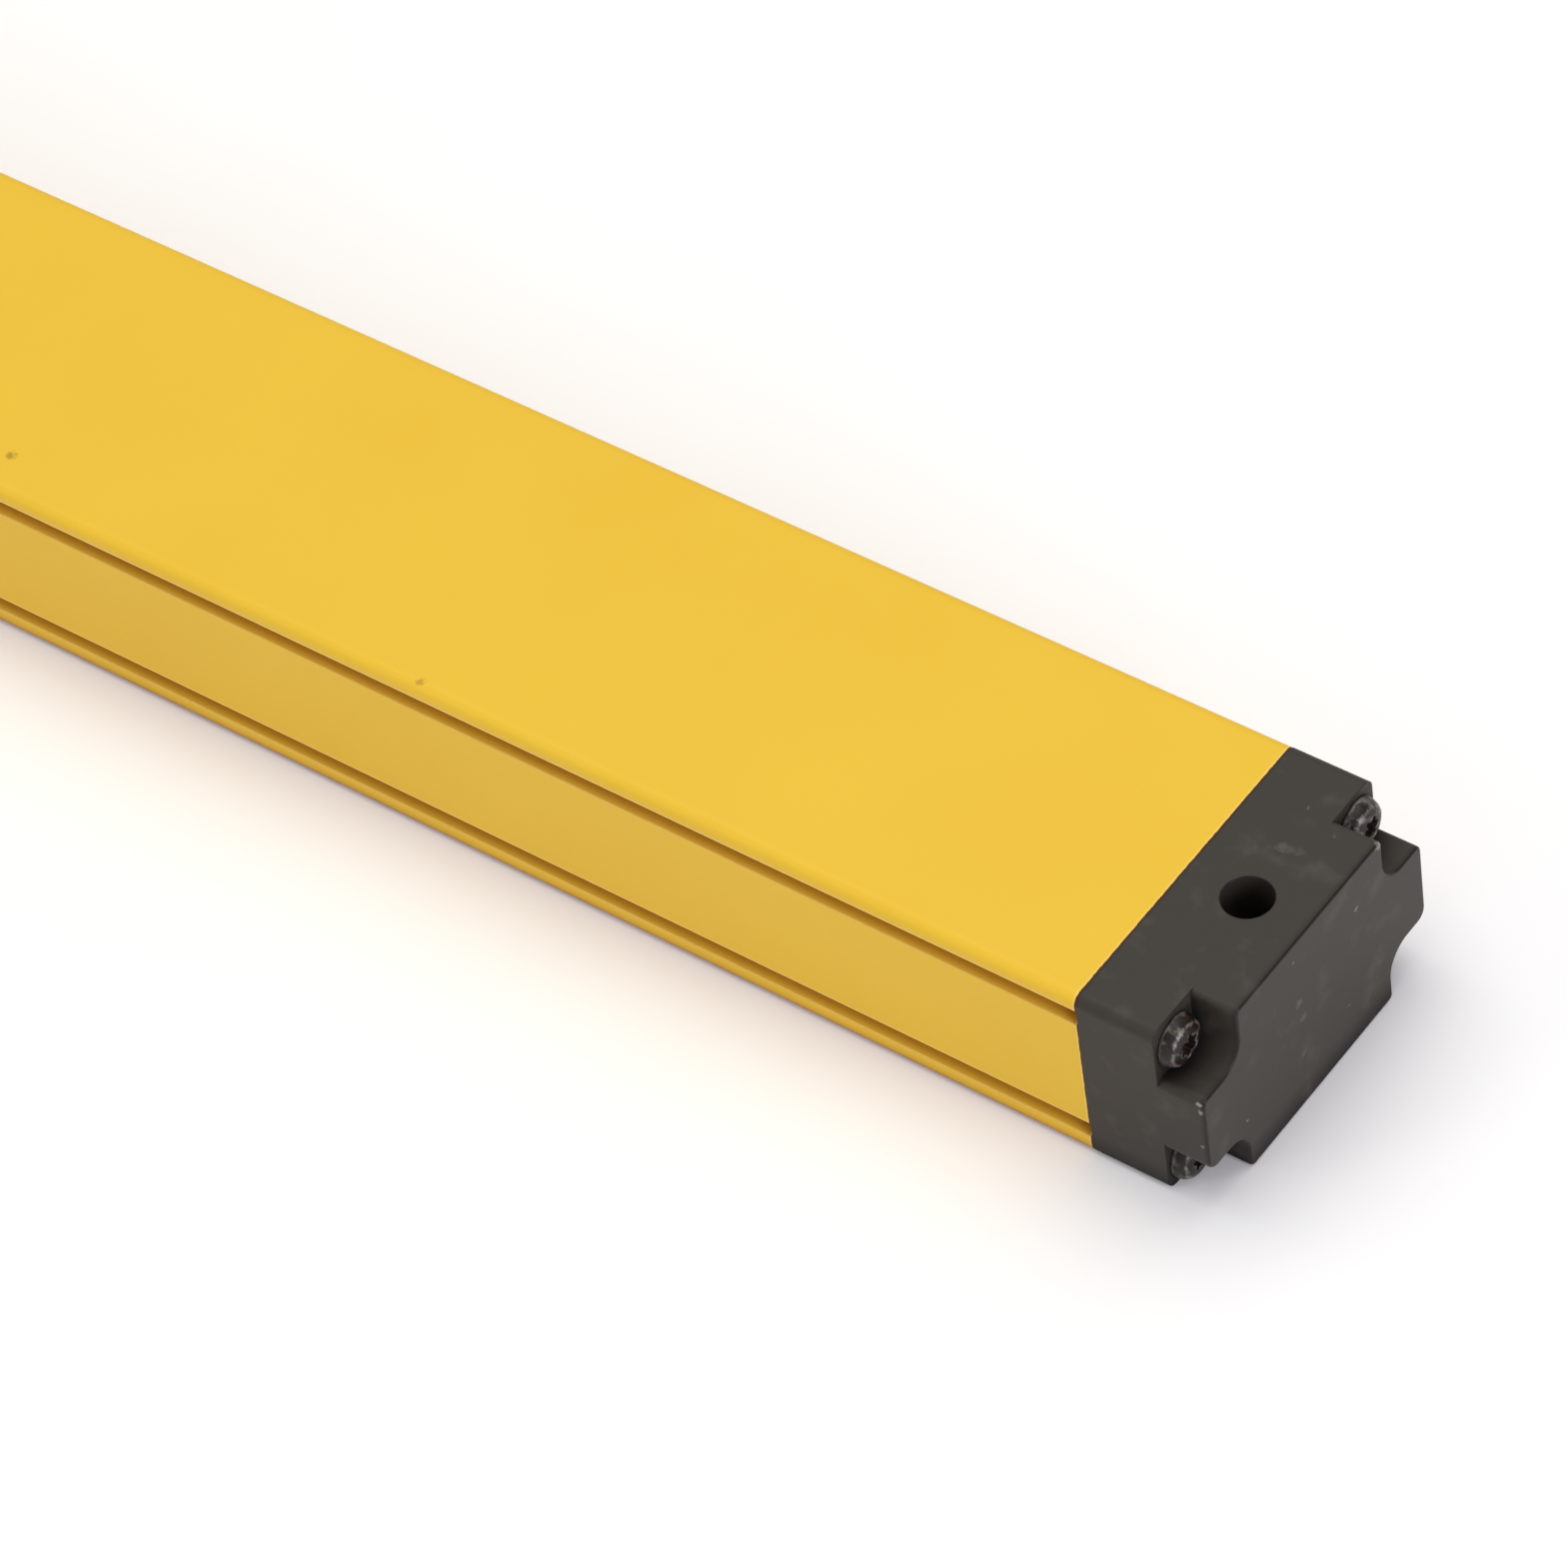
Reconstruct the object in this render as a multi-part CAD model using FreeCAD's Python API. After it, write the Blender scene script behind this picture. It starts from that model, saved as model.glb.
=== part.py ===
import FreeCAD, Part
import math
import os

from FreeCAD import Vector

# A safety light curtain bar, lying on its optical front with its plain back up. Sizes in millimetres.
# X runs along the bar towards the blank end cap, Y across it, and Z up from the front to the back.
# The origin is the centre of the lower face of the bounding box.
# Heights called levels are measured up from the front face of the housing.

# Housing, an aluminium extrusion
PROFILE_WIDTH = 49.0
PROFILE_HEIGHT = 30.0
PROFILE_CORNER_RADIUS = 1.6
SIDE_WALL = 2.0
BACK_WALL = 1.8
GROOVE_OPENING = 2.8
GROOVE_DEPTH = 1.6
GROOVE_RAMP = 0.8
BACK_GROOVE_FROM_BACK = 2.3
FRONT_GROOVE_FROM_FRONT = 3.2
SCREW_PORT_WALL = 1.65
SCREW_PORT_SLOT = 1.4

# Window strip and its seals
FRONT_LIP_WIDTH = 10.5
WINDOW_EDGE_HOLD = 2.4
WINDOW_THICKNESS = 2.0
WINDOW_RECESS = 1.0
WINDOW_SIDE_CLEARANCE = 0.2
SEAL_WIDTH = 1.6
SEAL_THICKNESS = 0.8
LEDGE_THICKNESS = 1.2

# Beams and the optic blocks that hold them
BEAM_COUNT = 16
BEAM_PITCH = 20.0
BEAMS_PER_BLOCK = 4
FIRST_BEAM_FROM_BLANK_END = 18.0
LAST_BEAM_FROM_CONNECTOR_END = 46.0
BLOCK_END_CLEARANCE = 0.2
BLOCK_SIDE_GAP = 2.0
BLOCK_FRONT_GAP = 0.4
BLOCK_FRONT_PLATE = 2.6
BLOCK_BACK_FLANGE = 1.6
BEAM_TUBE_WALL = 1.2
BEAM_TUBE_FRONT_RADIUS = 7.0
BEAM_TUBE_BACK_RADIUS = 2.6
LENS_RADIUS = 6.5
LENS_RISE = 2.4
LENS_PLATE_THICKNESS = 1.4
LENS_PLATE_MARGIN = 1.8
LENS_PLATE_CLEARANCE = 0.1

# Beam diodes
DIODE_LENGTH = 3.2
DIODE_WIDTH = 2.8
DIODE_HEIGHT = 1.6
DIODE_DOME_RADIUS = 1.1

# Diode board, carried in two slots of the housing
BOARD_THICKNESS = 1.6
BOARD_LEVEL = 16.9
BOARD_SLOT_CLEARANCE = 0.2
BOARD_SIDE_CLEARANCE = 0.3
BOARD_RIB_THICKNESS = 1.5
BOARD_RIB_REACH = 1.9
BOARD_FROM_BLANK_END = 4.0
BOARD_FROM_CONNECTOR_END = 6.0
STOP_PAD_WIDTH = 16.0
STOP_PAD_HEIGHT = 6.0

# Screws that hold the optic blocks and the control board
BLOCK_SCREW_SHANK_RADIUS = 1.1
BLOCK_SCREW_HOLE_RADIUS = 1.3
BLOCK_SCREW_BITE = 5.0
BLOCK_SCREW_BOSS_RADIUS = 2.6
BLOCK_SCREW_HEAD_RADIUS = 2.2
BLOCK_SCREW_HEAD_HEIGHT = 1.6

# Control board and what it carries
CONTROL_BOARD_LENGTH = 80.0
CONTROL_BOARD_SIDE_GAP = 1.2
CONTROL_BOARD_FROM_CONNECTOR_END = 30.0
CONTROL_BOARD_LIFT = 4.9
SPACER_ACROSS_FLATS = 5.0
SPACER_EDGE = 3.6
PROCESSOR_SIDE = 10.0
PROCESSOR_HEIGHT = 1.4
DRIVER_LENGTH = 6.6
DRIVER_WIDTH = 6.1
DRIVER_HEIGHT = 2.3
DRIVER_SPACING = 14.0
LINK_HEADER_LENGTH = 25.4
LINK_HEADER_WIDTH = 5.0
LINK_HEADER_OFFSET = 9.0
CAPACITOR_RADIUS = 3.15
CAPACITOR_HEIGHT = 5.8
CAPACITOR_BASE = 6.6
CAPACITOR_BASE_HEIGHT = 1.0
CAPACITOR_GAP = 4.0
CAPACITOR_SPACING = 15.0

# Status lamps and their light guide
LAMP_COUNT = 4
LAMP_PITCH = 6.0
LAMP_LENGTH = 1.6
LAMP_WIDTH = 1.2
LAMP_HEIGHT = 0.7
LAMPS_FROM_CONNECTOR_END = 24.0
GUIDE_ROD_RADIUS = 1.5
GUIDE_GAP = 0.2
GUIDE_BRIDGE_THICKNESS = 2.0
GUIDE_BRIDGE_WIDTH = 5.0
GUIDE_LEG = 2.0
GUIDE_WINDOW_GAP = 0.4

# End caps
CAP_LENGTH = 18.2
CAP_PROUD = 0.05
CAP_EDGE_RADIUS = 0.4
CAP_OUTER_WALL = 4.0
CAP_HOLLOW_WALL = 1.8
CAP_HOLLOW_FROM_FACES = 3.2
CROSS_HOLE_RADIUS = 3.5
POCKET_DEPTH = 6.8
POCKET_WIDTH = 8.3
BACK_POCKET_HEIGHT = 8.8
FRONT_POCKET_HEIGHT = 7.8
POCKET_INNER_RADIUS = 4.0
POCKET_CORNER_RADIUS = 0.9
BACK_POCKET_LIP_RADIUS = 1.2
FRONT_POCKET_LIP_RADIUS = 1.8
GASKET_THICKNESS = 1.0
GASKET_RIM = 0.8
GASKET_SIDE_CLEARANCE = 0.1
GASKET_FRAME = 3.1

# Cap screws, pan heads with a six-lobe recess
CAP_SCREW_FROM_SIDE = 4.1
CAP_SCREW_FROM_BACK = 4.5
CAP_SCREW_FROM_FRONT = 3.7
CAP_SCREW_RADIUS = 1.75
CAP_SCREW_HOLE_RADIUS = 2.0
CAP_SCREW_BITE = 9.0
CAP_SCREW_TIP = 1.0
CAP_SCREW_HEAD_RADIUS = 3.65
CAP_SCREW_HEAD_HEIGHT = 2.4
CAP_SCREW_RIM_HEIGHT = 0.7
RECESS_OUTER_RADIUS = 1.8
RECESS_INNER_RADIUS = 1.3
RECESS_DEPTH = 1.3
RECESS_LOBES = 6

# Round plug connector in the other end cap
CONNECTOR_HOLE_WALL = 1.9
CONNECTOR_THREAD_RADIUS = 6.0
CONNECTOR_BARREL = 9.5
CONNECTOR_HEX_FLATS = 14.0
CONNECTOR_HEX_LENGTH = 2.5
CONNECTOR_SOCKET_RADIUS = 4.8
CONNECTOR_SOCKET_DEPTH = 8.0
CONNECTOR_HOLE_CLEARANCE = 0.1
CONNECTOR_TAIL = 5.0
CONNECTOR_KEY_WIDTH = 1.2
CONNECTOR_KEY_HEIGHT = 0.6
PIN_COUNT = 4
PIN_CIRCLE_RADIUS = 3.5
PIN_RADIUS = 0.5
PIN_SHORT_OF_RIM = 1.2
RING_NUT_RADIUS = 7.0
RING_NUT_THICKNESS = 2.6
RING_NUT_NOTCH = 1.6
CONNECTOR_BAY_RADIUS = 7.4
O_RING_RADIUS = 6.2
O_RING_SECTION = 1.0
CONNECTOR_BOARD_WIDTH = 19.0
CONNECTOR_BOARD_BELOW = 5.5
CONNECTOR_BOARD_FROM_END = 2.0
LINK_BLOCK_WIDTH = 12.0
LINK_BLOCK_HEIGHT = 2.5
LINK_BLOCK_OVERLAP = 6.0
PIN_HOLE_CLEARANCE = 0.05

# Places worked out from the sizes above
BEAM_SPAN = (BEAM_COUNT - 1) * BEAM_PITCH
PROFILE_LENGTH = FIRST_BEAM_FROM_BLANK_END + BEAM_SPAN + LAST_BEAM_FROM_CONNECTOR_END
CONNECTOR_REACH = CONNECTOR_HEX_LENGTH + CONNECTOR_BARREL
OVERALL_LENGTH = CONNECTOR_REACH + 2.0 * CAP_LENGTH + PROFILE_LENGTH
X_BLANK_FACE = OVERALL_LENGTH / 2.0
X_PROFILE_END = X_BLANK_FACE - CAP_LENGTH
X_PROFILE_START = X_PROFILE_END - PROFILE_LENGTH
X_CONNECTOR_FACE = X_PROFILE_START - CAP_LENGTH
Z_FRONT = CAP_PROUD
Z_BACK = Z_FRONT + PROFILE_HEIGHT
Z_CAP_TOP = Z_BACK + CAP_PROUD
HALF_WIDTH = PROFILE_WIDTH / 2.0
CAP_HALF_WIDTH = HALF_WIDTH + CAP_PROUD
CAP_CORNER_RADIUS = PROFILE_CORNER_RADIUS + CAP_PROUD
WINDOW_CLEAR_WIDTH = PROFILE_WIDTH - 2.0 * FRONT_LIP_WIDTH
BLOCK_WIDTH = WINDOW_CLEAR_WIDTH - 2.0 * BLOCK_SIDE_GAP
SCREW_Y = HALF_WIDTH - CAP_SCREW_FROM_SIDE
SCREW_Z_BACK = Z_BACK - CAP_SCREW_FROM_BACK
SCREW_Z_FRONT = Z_FRONT + CAP_SCREW_FROM_FRONT
SCREW_PLACES = [
    (side * SCREW_Y, z)
    for side in (-1.0, 1.0)
    for z in (SCREW_Z_FRONT, SCREW_Z_BACK)
]
CAVITY_HALF = HALF_WIDTH - SIDE_WALL
Z_CAVITY_TOP = Z_BACK - BACK_WALL
Z_WINDOW = Z_FRONT + WINDOW_RECESS
Z_SEAL = Z_WINDOW + WINDOW_THICKNESS
Z_LEDGE = Z_SEAL + SEAL_THICKNESS
Z_CAVITY_BOTTOM = Z_LEDGE + LEDGE_THICKNESS
Z_BOARD = Z_FRONT + BOARD_LEVEL
Z_BOARD_BACK = Z_BOARD + BOARD_THICKNESS
BOARD_HALF = CAVITY_HALF - BOARD_SIDE_CLEARANCE
Z_BLOCK = Z_CAVITY_BOTTOM + BLOCK_FRONT_GAP
Z_LENS_SEAT = Z_BLOCK + LENS_PLATE_THICKNESS
Z_CONTROL_BOARD = Z_BOARD_BACK + CONTROL_BOARD_LIFT
Z_CONTROL_TOP = Z_CONTROL_BOARD + BOARD_THICKNESS
Z_MIDDLE = Z_CAP_TOP / 2.0
SCREW_PORT_OUTER = CAP_SCREW_RADIUS + SCREW_PORT_WALL
CONTROL_BOARD_WIDTH = 2.0 * (SCREW_Y - SCREW_PORT_OUTER - CONTROL_BOARD_SIDE_GAP)
CONNECTOR_OFFSET = CROSS_HOLE_RADIUS + CONNECTOR_HOLE_WALL + CONNECTOR_BAY_RADIUS
BLOCK_COUNT = BEAM_COUNT // BEAMS_PER_BLOCK
BLOCK_PITCH = BEAMS_PER_BLOCK * BEAM_PITCH


def box(x0, x1, y0, y1, z0, z1):
    return Part.makeBox(x1 - x0, y1 - y0, z1 - z0, Vector(x0, y0, z0))


def rod_x(radius, x0, x1, y, z):
    return Part.makeCylinder(radius, x1 - x0, Vector(x0, y, z), Vector(1, 0, 0))


def rod_z(radius, x, y, z0, z1):
    return Part.makeCylinder(radius, z1 - z0, Vector(x, y, z0), Vector(0, 0, 1))


def joined(shapes):
    return shapes[0].multiFuse(shapes[1:]).removeSplitter()


def line(a, b):
    return Part.LineSegment(a, b).toShape()


def arc(a, middle, b):
    return Part.Arc(a, middle, b).toShape()


def rounded_bar(x0, x1, half_width, z0, z1, radius):
    """Bar along X with a rounded rectangle as its section, centred on Y = 0."""
    bend = radius * (1.0 - math.sqrt(0.5))
    edges = []
    corners = [
        (half_width, z0, -1.0, 1.0),
        (half_width, z1, -1.0, -1.0),
        (-half_width, z1, 1.0, -1.0),
        (-half_width, z0, 1.0, 1.0),
    ]
    ends = []
    for index, (y, z, inward_y, inward_z) in enumerate(corners):
        along_y = Vector(x0, y + inward_y * radius, z)
        along_z = Vector(x0, y, z + inward_z * radius)
        middle = Vector(x0, y + inward_y * bend, z + inward_z * bend)
        first, last = (along_y, along_z) if index % 2 == 0 else (along_z, along_y)
        edges.append(arc(first, middle, last))
        ends.append((first, last))
    sides = [line(ends[i][1], ends[(i + 1) % 4][0]) for i in range(4)]
    loop = [edge for pair in zip(edges, sides) for edge in pair]
    return Part.Face(Part.Wire(loop)).extrude(Vector(x1 - x0, 0, 0))


def outline_bar(points, x0, x1):
    """Bar along X from the (y, z) corners of its section."""
    corners = [Vector(x0, y, z) for y, z in points]
    return Part.Face(Part.makePolygon(corners + corners[:1])).extrude(Vector(x1 - x0, 0, 0))


def hexagon_x(across_flats, x0, x1, y, z):
    radius = across_flats / math.sqrt(3.0)
    corners = []
    for index in range(6):
        turn = math.radians(60.0 * index)
        corners.append((y + radius * math.cos(turn), z + radius * math.sin(turn)))
    return outline_bar(corners, x0, x1)


def hexagon_z(across_flats, x, y, z0, z1):
    radius = across_flats / math.sqrt(3.0)
    corners = []
    for index in range(6):
        turn = math.radians(60.0 * index)
        corners.append(Vector(x + radius * math.cos(turn), y + radius * math.sin(turn), z0))
    return Part.Face(Part.makePolygon(corners + corners[:1])).extrude(Vector(0, 0, z1 - z0))


def beam_x(index):
    return X_PROFILE_END - FIRST_BEAM_FROM_BLANK_END - index * BEAM_PITCH


def block_middle_x(block):
    return beam_x(block * BEAMS_PER_BLOCK) - (BEAMS_PER_BLOCK - 1) * BEAM_PITCH / 2.0


def block_screw_places():
    """Two screws a block, each midway between two beams."""
    places = []
    for block in range(BLOCK_COUNT):
        places += [block_middle_x(block) + side * BEAM_PITCH for side in (-1.0, 1.0)]
    return places


def spacer_places():
    x0 = X_PROFILE_START + CONTROL_BOARD_FROM_CONNECTOR_END + SPACER_EDGE
    x1 = x0 + CONTROL_BOARD_LENGTH - 2.0 * SPACER_EDGE
    y = CONTROL_BOARD_WIDTH / 2.0 - SPACER_EDGE
    return [(x, side * y) for x in (x0, x1) for side in (-1.0, 1.0)]


def side_groove(side, z_low, x0, x1):
    """Groove with a square upper wall and a sloping lower wall."""
    outside = side * (HALF_WIDTH + CAP_PROUD)
    face = side * HALF_WIDTH
    floor = side * (HALF_WIDTH - GROOVE_DEPTH)
    z_high = z_low + GROOVE_OPENING
    points = [(outside, z_low), (face, z_low), (floor, z_low + GROOVE_RAMP), (floor, z_high), (outside, z_high)]
    return outline_bar(points, x0, x1)


def corner_fill(y_sign, z_port, z_wall, x0, x1):
    """Metal round one screw port, with a rounded inner corner."""
    y_port = y_sign * SCREW_Y
    y_outer = y_sign * (CAVITY_HALF + SIDE_WALL / 2.0)
    y_inner = y_sign * (SCREW_Y - SCREW_PORT_OUTER)
    toward = 1.0 if z_wall > z_port else -1.0
    z_inner = z_port - toward * SCREW_PORT_OUTER
    low_y, high_y = sorted((y_port, y_outer))
    low_z, high_z = sorted((z_inner, z_wall))
    pieces = [box(x0, x1, low_y, high_y, low_z, high_z)]
    low_y, high_y = sorted((y_inner, y_outer))
    low_z, high_z = sorted((z_port, z_wall))
    pieces.append(box(x0, x1, low_y, high_y, low_z, high_z))
    pieces.append(rod_x(SCREW_PORT_OUTER, x0, x1, y_port, z_port))
    return joined(pieces)


def housing_profile():
    x0, x1 = X_PROFILE_START, X_PROFILE_END
    body = rounded_bar(x0, x1, HALF_WIDTH, Z_FRONT, Z_BACK, PROFILE_CORNER_RADIUS)
    cavity = box(x0, x1, -CAVITY_HALF, CAVITY_HALF, Z_CAVITY_BOTTOM, Z_CAVITY_TOP)
    fills = []
    for y_sign in (-1.0, 1.0):
        fills.append(corner_fill(y_sign, SCREW_Z_BACK, Z_BACK - BACK_WALL / 2.0, x0, x1))
        fills.append(corner_fill(y_sign, SCREW_Z_FRONT, Z_FRONT + WINDOW_RECESS, x0, x1))
        inner = y_sign * (CAVITY_HALF - BOARD_RIB_REACH)
        low_y, high_y = sorted((inner, y_sign * (CAVITY_HALF + SIDE_WALL / 2.0)))
        z_upper = Z_BOARD_BACK + BOARD_SLOT_CLEARANCE
        fills.append(box(x0, x1, low_y, high_y, Z_BOARD - BOARD_RIB_THICKNESS, Z_BOARD))
        fills.append(box(x0, x1, low_y, high_y, z_upper, z_upper + BOARD_RIB_THICKNESS))
    body = body.cut(cavity.cut(joined(fills)))

    opening_half = WINDOW_CLEAR_WIDTH / 2.0
    slot_half = opening_half + WINDOW_EDGE_HOLD + WINDOW_SIDE_CLEARANCE
    cuts = [
        box(x0, x1, -opening_half, opening_half, 0.0, Z_CAVITY_BOTTOM),
        box(x0, x1, -slot_half, slot_half, Z_WINDOW, Z_LEDGE),
    ]
    for y_sign in (-1.0, 1.0):
        for z_port, toward in ((SCREW_Z_BACK, -1.0), (SCREW_Z_FRONT, 1.0)):
            y_port = y_sign * SCREW_Y
            cuts.append(rod_x(CAP_SCREW_RADIUS, x0, x1, y_port, z_port))
            slot = box(x0, x1, -SCREW_PORT_SLOT / 2.0, SCREW_PORT_SLOT / 2.0, 0.0, SCREW_PORT_OUTER + GROOVE_DEPTH)
            turn = y_sign * 45.0 if toward > 0 else y_sign * 135.0
            slot.rotate(Vector(0, 0, 0), Vector(1, 0, 0), turn)
            slot.translate(Vector(0, y_port, z_port))
            cuts.append(slot)
        cuts.append(side_groove(y_sign, Z_BACK - BACK_GROOVE_FROM_BACK - GROOVE_OPENING, x0, x1))
        cuts.append(side_groove(y_sign, Z_FRONT + FRONT_GROOVE_FROM_FRONT, x0, x1))
    return body.cut(cuts[0].multiFuse(cuts[1:])).removeSplitter()


def front_window():
    half = WINDOW_CLEAR_WIDTH / 2.0 + WINDOW_EDGE_HOLD
    return box(X_PROFILE_START, X_PROFILE_END, -half, half, Z_WINDOW, Z_SEAL)


def window_seal(side):
    outer = side * (WINDOW_CLEAR_WIDTH / 2.0 + WINDOW_EDGE_HOLD)
    low_y, high_y = sorted((outer, outer - side * SEAL_WIDTH))
    return box(X_PROFILE_START, X_PROFILE_END, low_y, high_y, Z_SEAL, Z_LEDGE)


def corner_pocket(y_sign, z_face, into, height, lip, x0, x1):
    """Pocket round a cap screw, open at the end, the side and the front or back of the cap."""
    side = CAP_HALF_WIDTH
    beyond = 1.0
    turn = 1.0 - math.sqrt(0.5)

    def at(from_side, from_face):
        return Vector(x0, y_sign * (side - from_side), z_face + into * from_face)

    wall = POCKET_WIDTH
    inner = POCKET_INNER_RADIUS
    corner = POCKET_CORNER_RADIUS
    points = [
        at(-beyond, -beyond),
        at(wall + corner, -beyond),
        at(wall + corner, 0.0),
        at(wall, corner),
        at(wall, height - inner),
        at(wall - inner, height),
        at(lip, height),
        at(0.0, height + lip),
        at(-beyond, height + lip),
    ]
    corner_middle = at(wall + corner * turn, corner * turn)
    inner_middle = at(wall - inner * turn, height - inner * turn)
    lip_middle = at(lip * turn, height + lip * turn)
    edges = [
        line(points[0], points[1]),
        line(points[1], points[2]),
        arc(points[2], corner_middle, points[3]),
        line(points[3], points[4]),
        arc(points[4], inner_middle, points[5]),
        line(points[5], points[6]),
        arc(points[6], lip_middle, points[7]),
        line(points[7], points[8]),
        line(points[8], points[0]),
    ]
    return Part.Face(Part.Wire(edges)).extrude(Vector(x1 - x0, 0, 0))


def cap_hollow(side):
    """Hollow behind the cap's outer wall, beside the tube of the cross hole."""
    near = CROSS_HOLE_RADIUS + CAP_HOLLOW_WALL
    far = CAP_HALF_WIDTH - POCKET_WIDTH - CAP_HOLLOW_WALL
    low_y, high_y = sorted((side * near, side * far))
    depth_end = X_BLANK_FACE - CAP_OUTER_WALL
    return box(X_PROFILE_END, depth_end, low_y, high_y, CAP_HOLLOW_FROM_FACES, Z_CAP_TOP - CAP_HOLLOW_FROM_FACES)


def cap_body():
    """What both caps share, drawn at the blank end without its inner hollows."""
    x0, x1 = X_PROFILE_END, X_BLANK_FACE
    body = rounded_bar(x0, x1, CAP_HALF_WIDTH, 0.0, Z_CAP_TOP, CAP_CORNER_RADIUS)
    x_seat = x1 - POCKET_DEPTH
    pockets = []
    for y_sign in (-1.0, 1.0):
        pockets.append(corner_pocket(
            y_sign, Z_CAP_TOP, -1.0, BACK_POCKET_HEIGHT, BACK_POCKET_LIP_RADIUS, x_seat, x1))
        pockets.append(corner_pocket(
            y_sign, 0.0, 1.0, FRONT_POCKET_HEIGHT, FRONT_POCKET_LIP_RADIUS, x_seat, x1))
    body = body.cut(pockets[0].multiFuse(pockets[1:])).removeSplitter()
    rim = [
        edge for edge in body.Edges
        if all(abs(vertex.X - x1) < 1e-6 for vertex in edge.Vertexes)
    ]
    body = body.makeFillet(CAP_EDGE_RADIUS, rim)
    cuts = [rod_x(CAP_SCREW_HOLE_RADIUS, x0, x_seat, y, z) for y, z in SCREW_PLACES]
    cuts.append(rod_z(CROSS_HOLE_RADIUS, (x0 + x1) / 2.0, 0.0, 0.0, Z_CAP_TOP))
    inset = CAP_HALF_WIDTH - GASKET_RIM
    radius = CAP_CORNER_RADIUS - GASKET_RIM
    cuts.append(rounded_bar(x0, x0 + GASKET_THICKNESS, inset, GASKET_RIM, Z_CAP_TOP - GASKET_RIM, radius))
    return body.cut(cuts[0].multiFuse(cuts[1:]))


def to_connector_end(shape):
    """Mirror a shape drawn at the blank end over to the connector end."""
    middle = (X_PROFILE_START + X_PROFILE_END) / 2.0
    return shape.mirror(Vector(middle, 0, 0), Vector(1, 0, 0))


def end_cap_blank():
    body = cap_body()
    for side in (-1.0, 1.0):
        body = body.cut(cap_hollow(side))
    return body.removeSplitter()


def end_cap_connector():
    body = cap_body().cut(cap_hollow(1.0))
    hole = CONNECTOR_THREAD_RADIUS + CONNECTOR_HOLE_CLEARANCE
    x_wall = X_BLANK_FACE - CAP_OUTER_WALL
    body = body.cut(rod_x(hole, x_wall, X_BLANK_FACE, -CONNECTOR_OFFSET, Z_MIDDLE))
    body = body.cut(rod_x(CONNECTOR_BAY_RADIUS, X_PROFILE_END, x_wall, -CONNECTOR_OFFSET, Z_MIDDLE))
    return to_connector_end(body.removeSplitter())


def gasket(framed):
    x0 = X_PROFILE_END
    x1 = x0 + GASKET_THICKNESS
    inset = GASKET_RIM + GASKET_SIDE_CLEARANCE
    radius = CAP_CORNER_RADIUS - inset
    body = rounded_bar(x0, x1, CAP_HALF_WIDTH - inset, inset, Z_CAP_TOP - inset, radius)
    cuts = [rod_x(CAP_SCREW_HOLE_RADIUS, x0, x1, y, z) for y, z in SCREW_PLACES]
    if framed:
        half = CAP_HALF_WIDTH - inset - GASKET_FRAME
        reach = CONNECTOR_BAY_RADIUS + GASKET_SIDE_CLEARANCE
        cuts.append(box(x0, x1, -half, half, Z_MIDDLE - reach, Z_MIDDLE + reach))
    body = body.cut(cuts[0].multiFuse(cuts[1:]))
    return to_connector_end(body) if framed else body


def six_lobe_recess(x_floor, x_top, y, z):
    corners = []
    for index in range(2 * RECESS_LOBES):
        radius = RECESS_OUTER_RADIUS if index % 2 == 0 else RECESS_INNER_RADIUS
        turn = math.pi * index / RECESS_LOBES
        corners.append((y + radius * math.cos(turn), z + radius * math.sin(turn)))
    return outline_bar(corners, x_floor, x_top)


def cap_screw(y, z):
    """Pan head screw, turned about its own axis, with its thread left plain."""
    x_seat = X_BLANK_FACE - POCKET_DEPTH
    x_tip = X_PROFILE_END - CAP_SCREW_BITE
    x_top = x_seat + CAP_SCREW_HEAD_HEIGHT
    x_rim = x_seat + CAP_SCREW_RIM_HEIGHT
    tip_radius = CAP_SCREW_RADIUS / 2.0
    flat = CAP_SCREW_HEAD_RADIUS * 0.55

    def at(x, radius):
        return Vector(x, y, z + radius)

    rise = x_top - x_rim
    run = CAP_SCREW_HEAD_RADIUS - flat
    crown_middle = at(x_rim + rise * math.sqrt(0.5), flat + run * math.sqrt(0.5))
    edges = [
        line(at(x_tip, 0.0), at(x_tip, tip_radius)),
        line(at(x_tip, tip_radius), at(x_tip + CAP_SCREW_TIP, CAP_SCREW_RADIUS)),
        line(at(x_tip + CAP_SCREW_TIP, CAP_SCREW_RADIUS), at(x_seat, CAP_SCREW_RADIUS)),
        line(at(x_seat, CAP_SCREW_RADIUS), at(x_seat, CAP_SCREW_HEAD_RADIUS)),
        line(at(x_seat, CAP_SCREW_HEAD_RADIUS), at(x_rim, CAP_SCREW_HEAD_RADIUS)),
        arc(at(x_rim, CAP_SCREW_HEAD_RADIUS), crown_middle, at(x_top, flat)),
        line(at(x_top, flat), at(x_top, 0.0)),
        line(at(x_top, 0.0), at(x_tip, 0.0)),
    ]
    body = Part.Face(Part.Wire(edges)).revolve(Vector(x_seat, y, z), Vector(1, 0, 0), 360.0)
    return body.cut(six_lobe_recess(x_top - RECESS_DEPTH, x_top, y, z))


def cap_screws():
    return Part.makeCompound([cap_screw(y, z) for y, z in SCREW_PLACES])


def beam_cone(x, extra):
    """Cone of one beam, narrow at its diode and wide at its lens, grown by a wall."""
    height = Z_BOARD - Z_LENS_SEAT
    return Part.makeCone(
        BEAM_TUBE_FRONT_RADIUS + extra, BEAM_TUBE_BACK_RADIUS + extra, height,
        Vector(x, 0.0, Z_LENS_SEAT), Vector(0, 0, 1))


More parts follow.
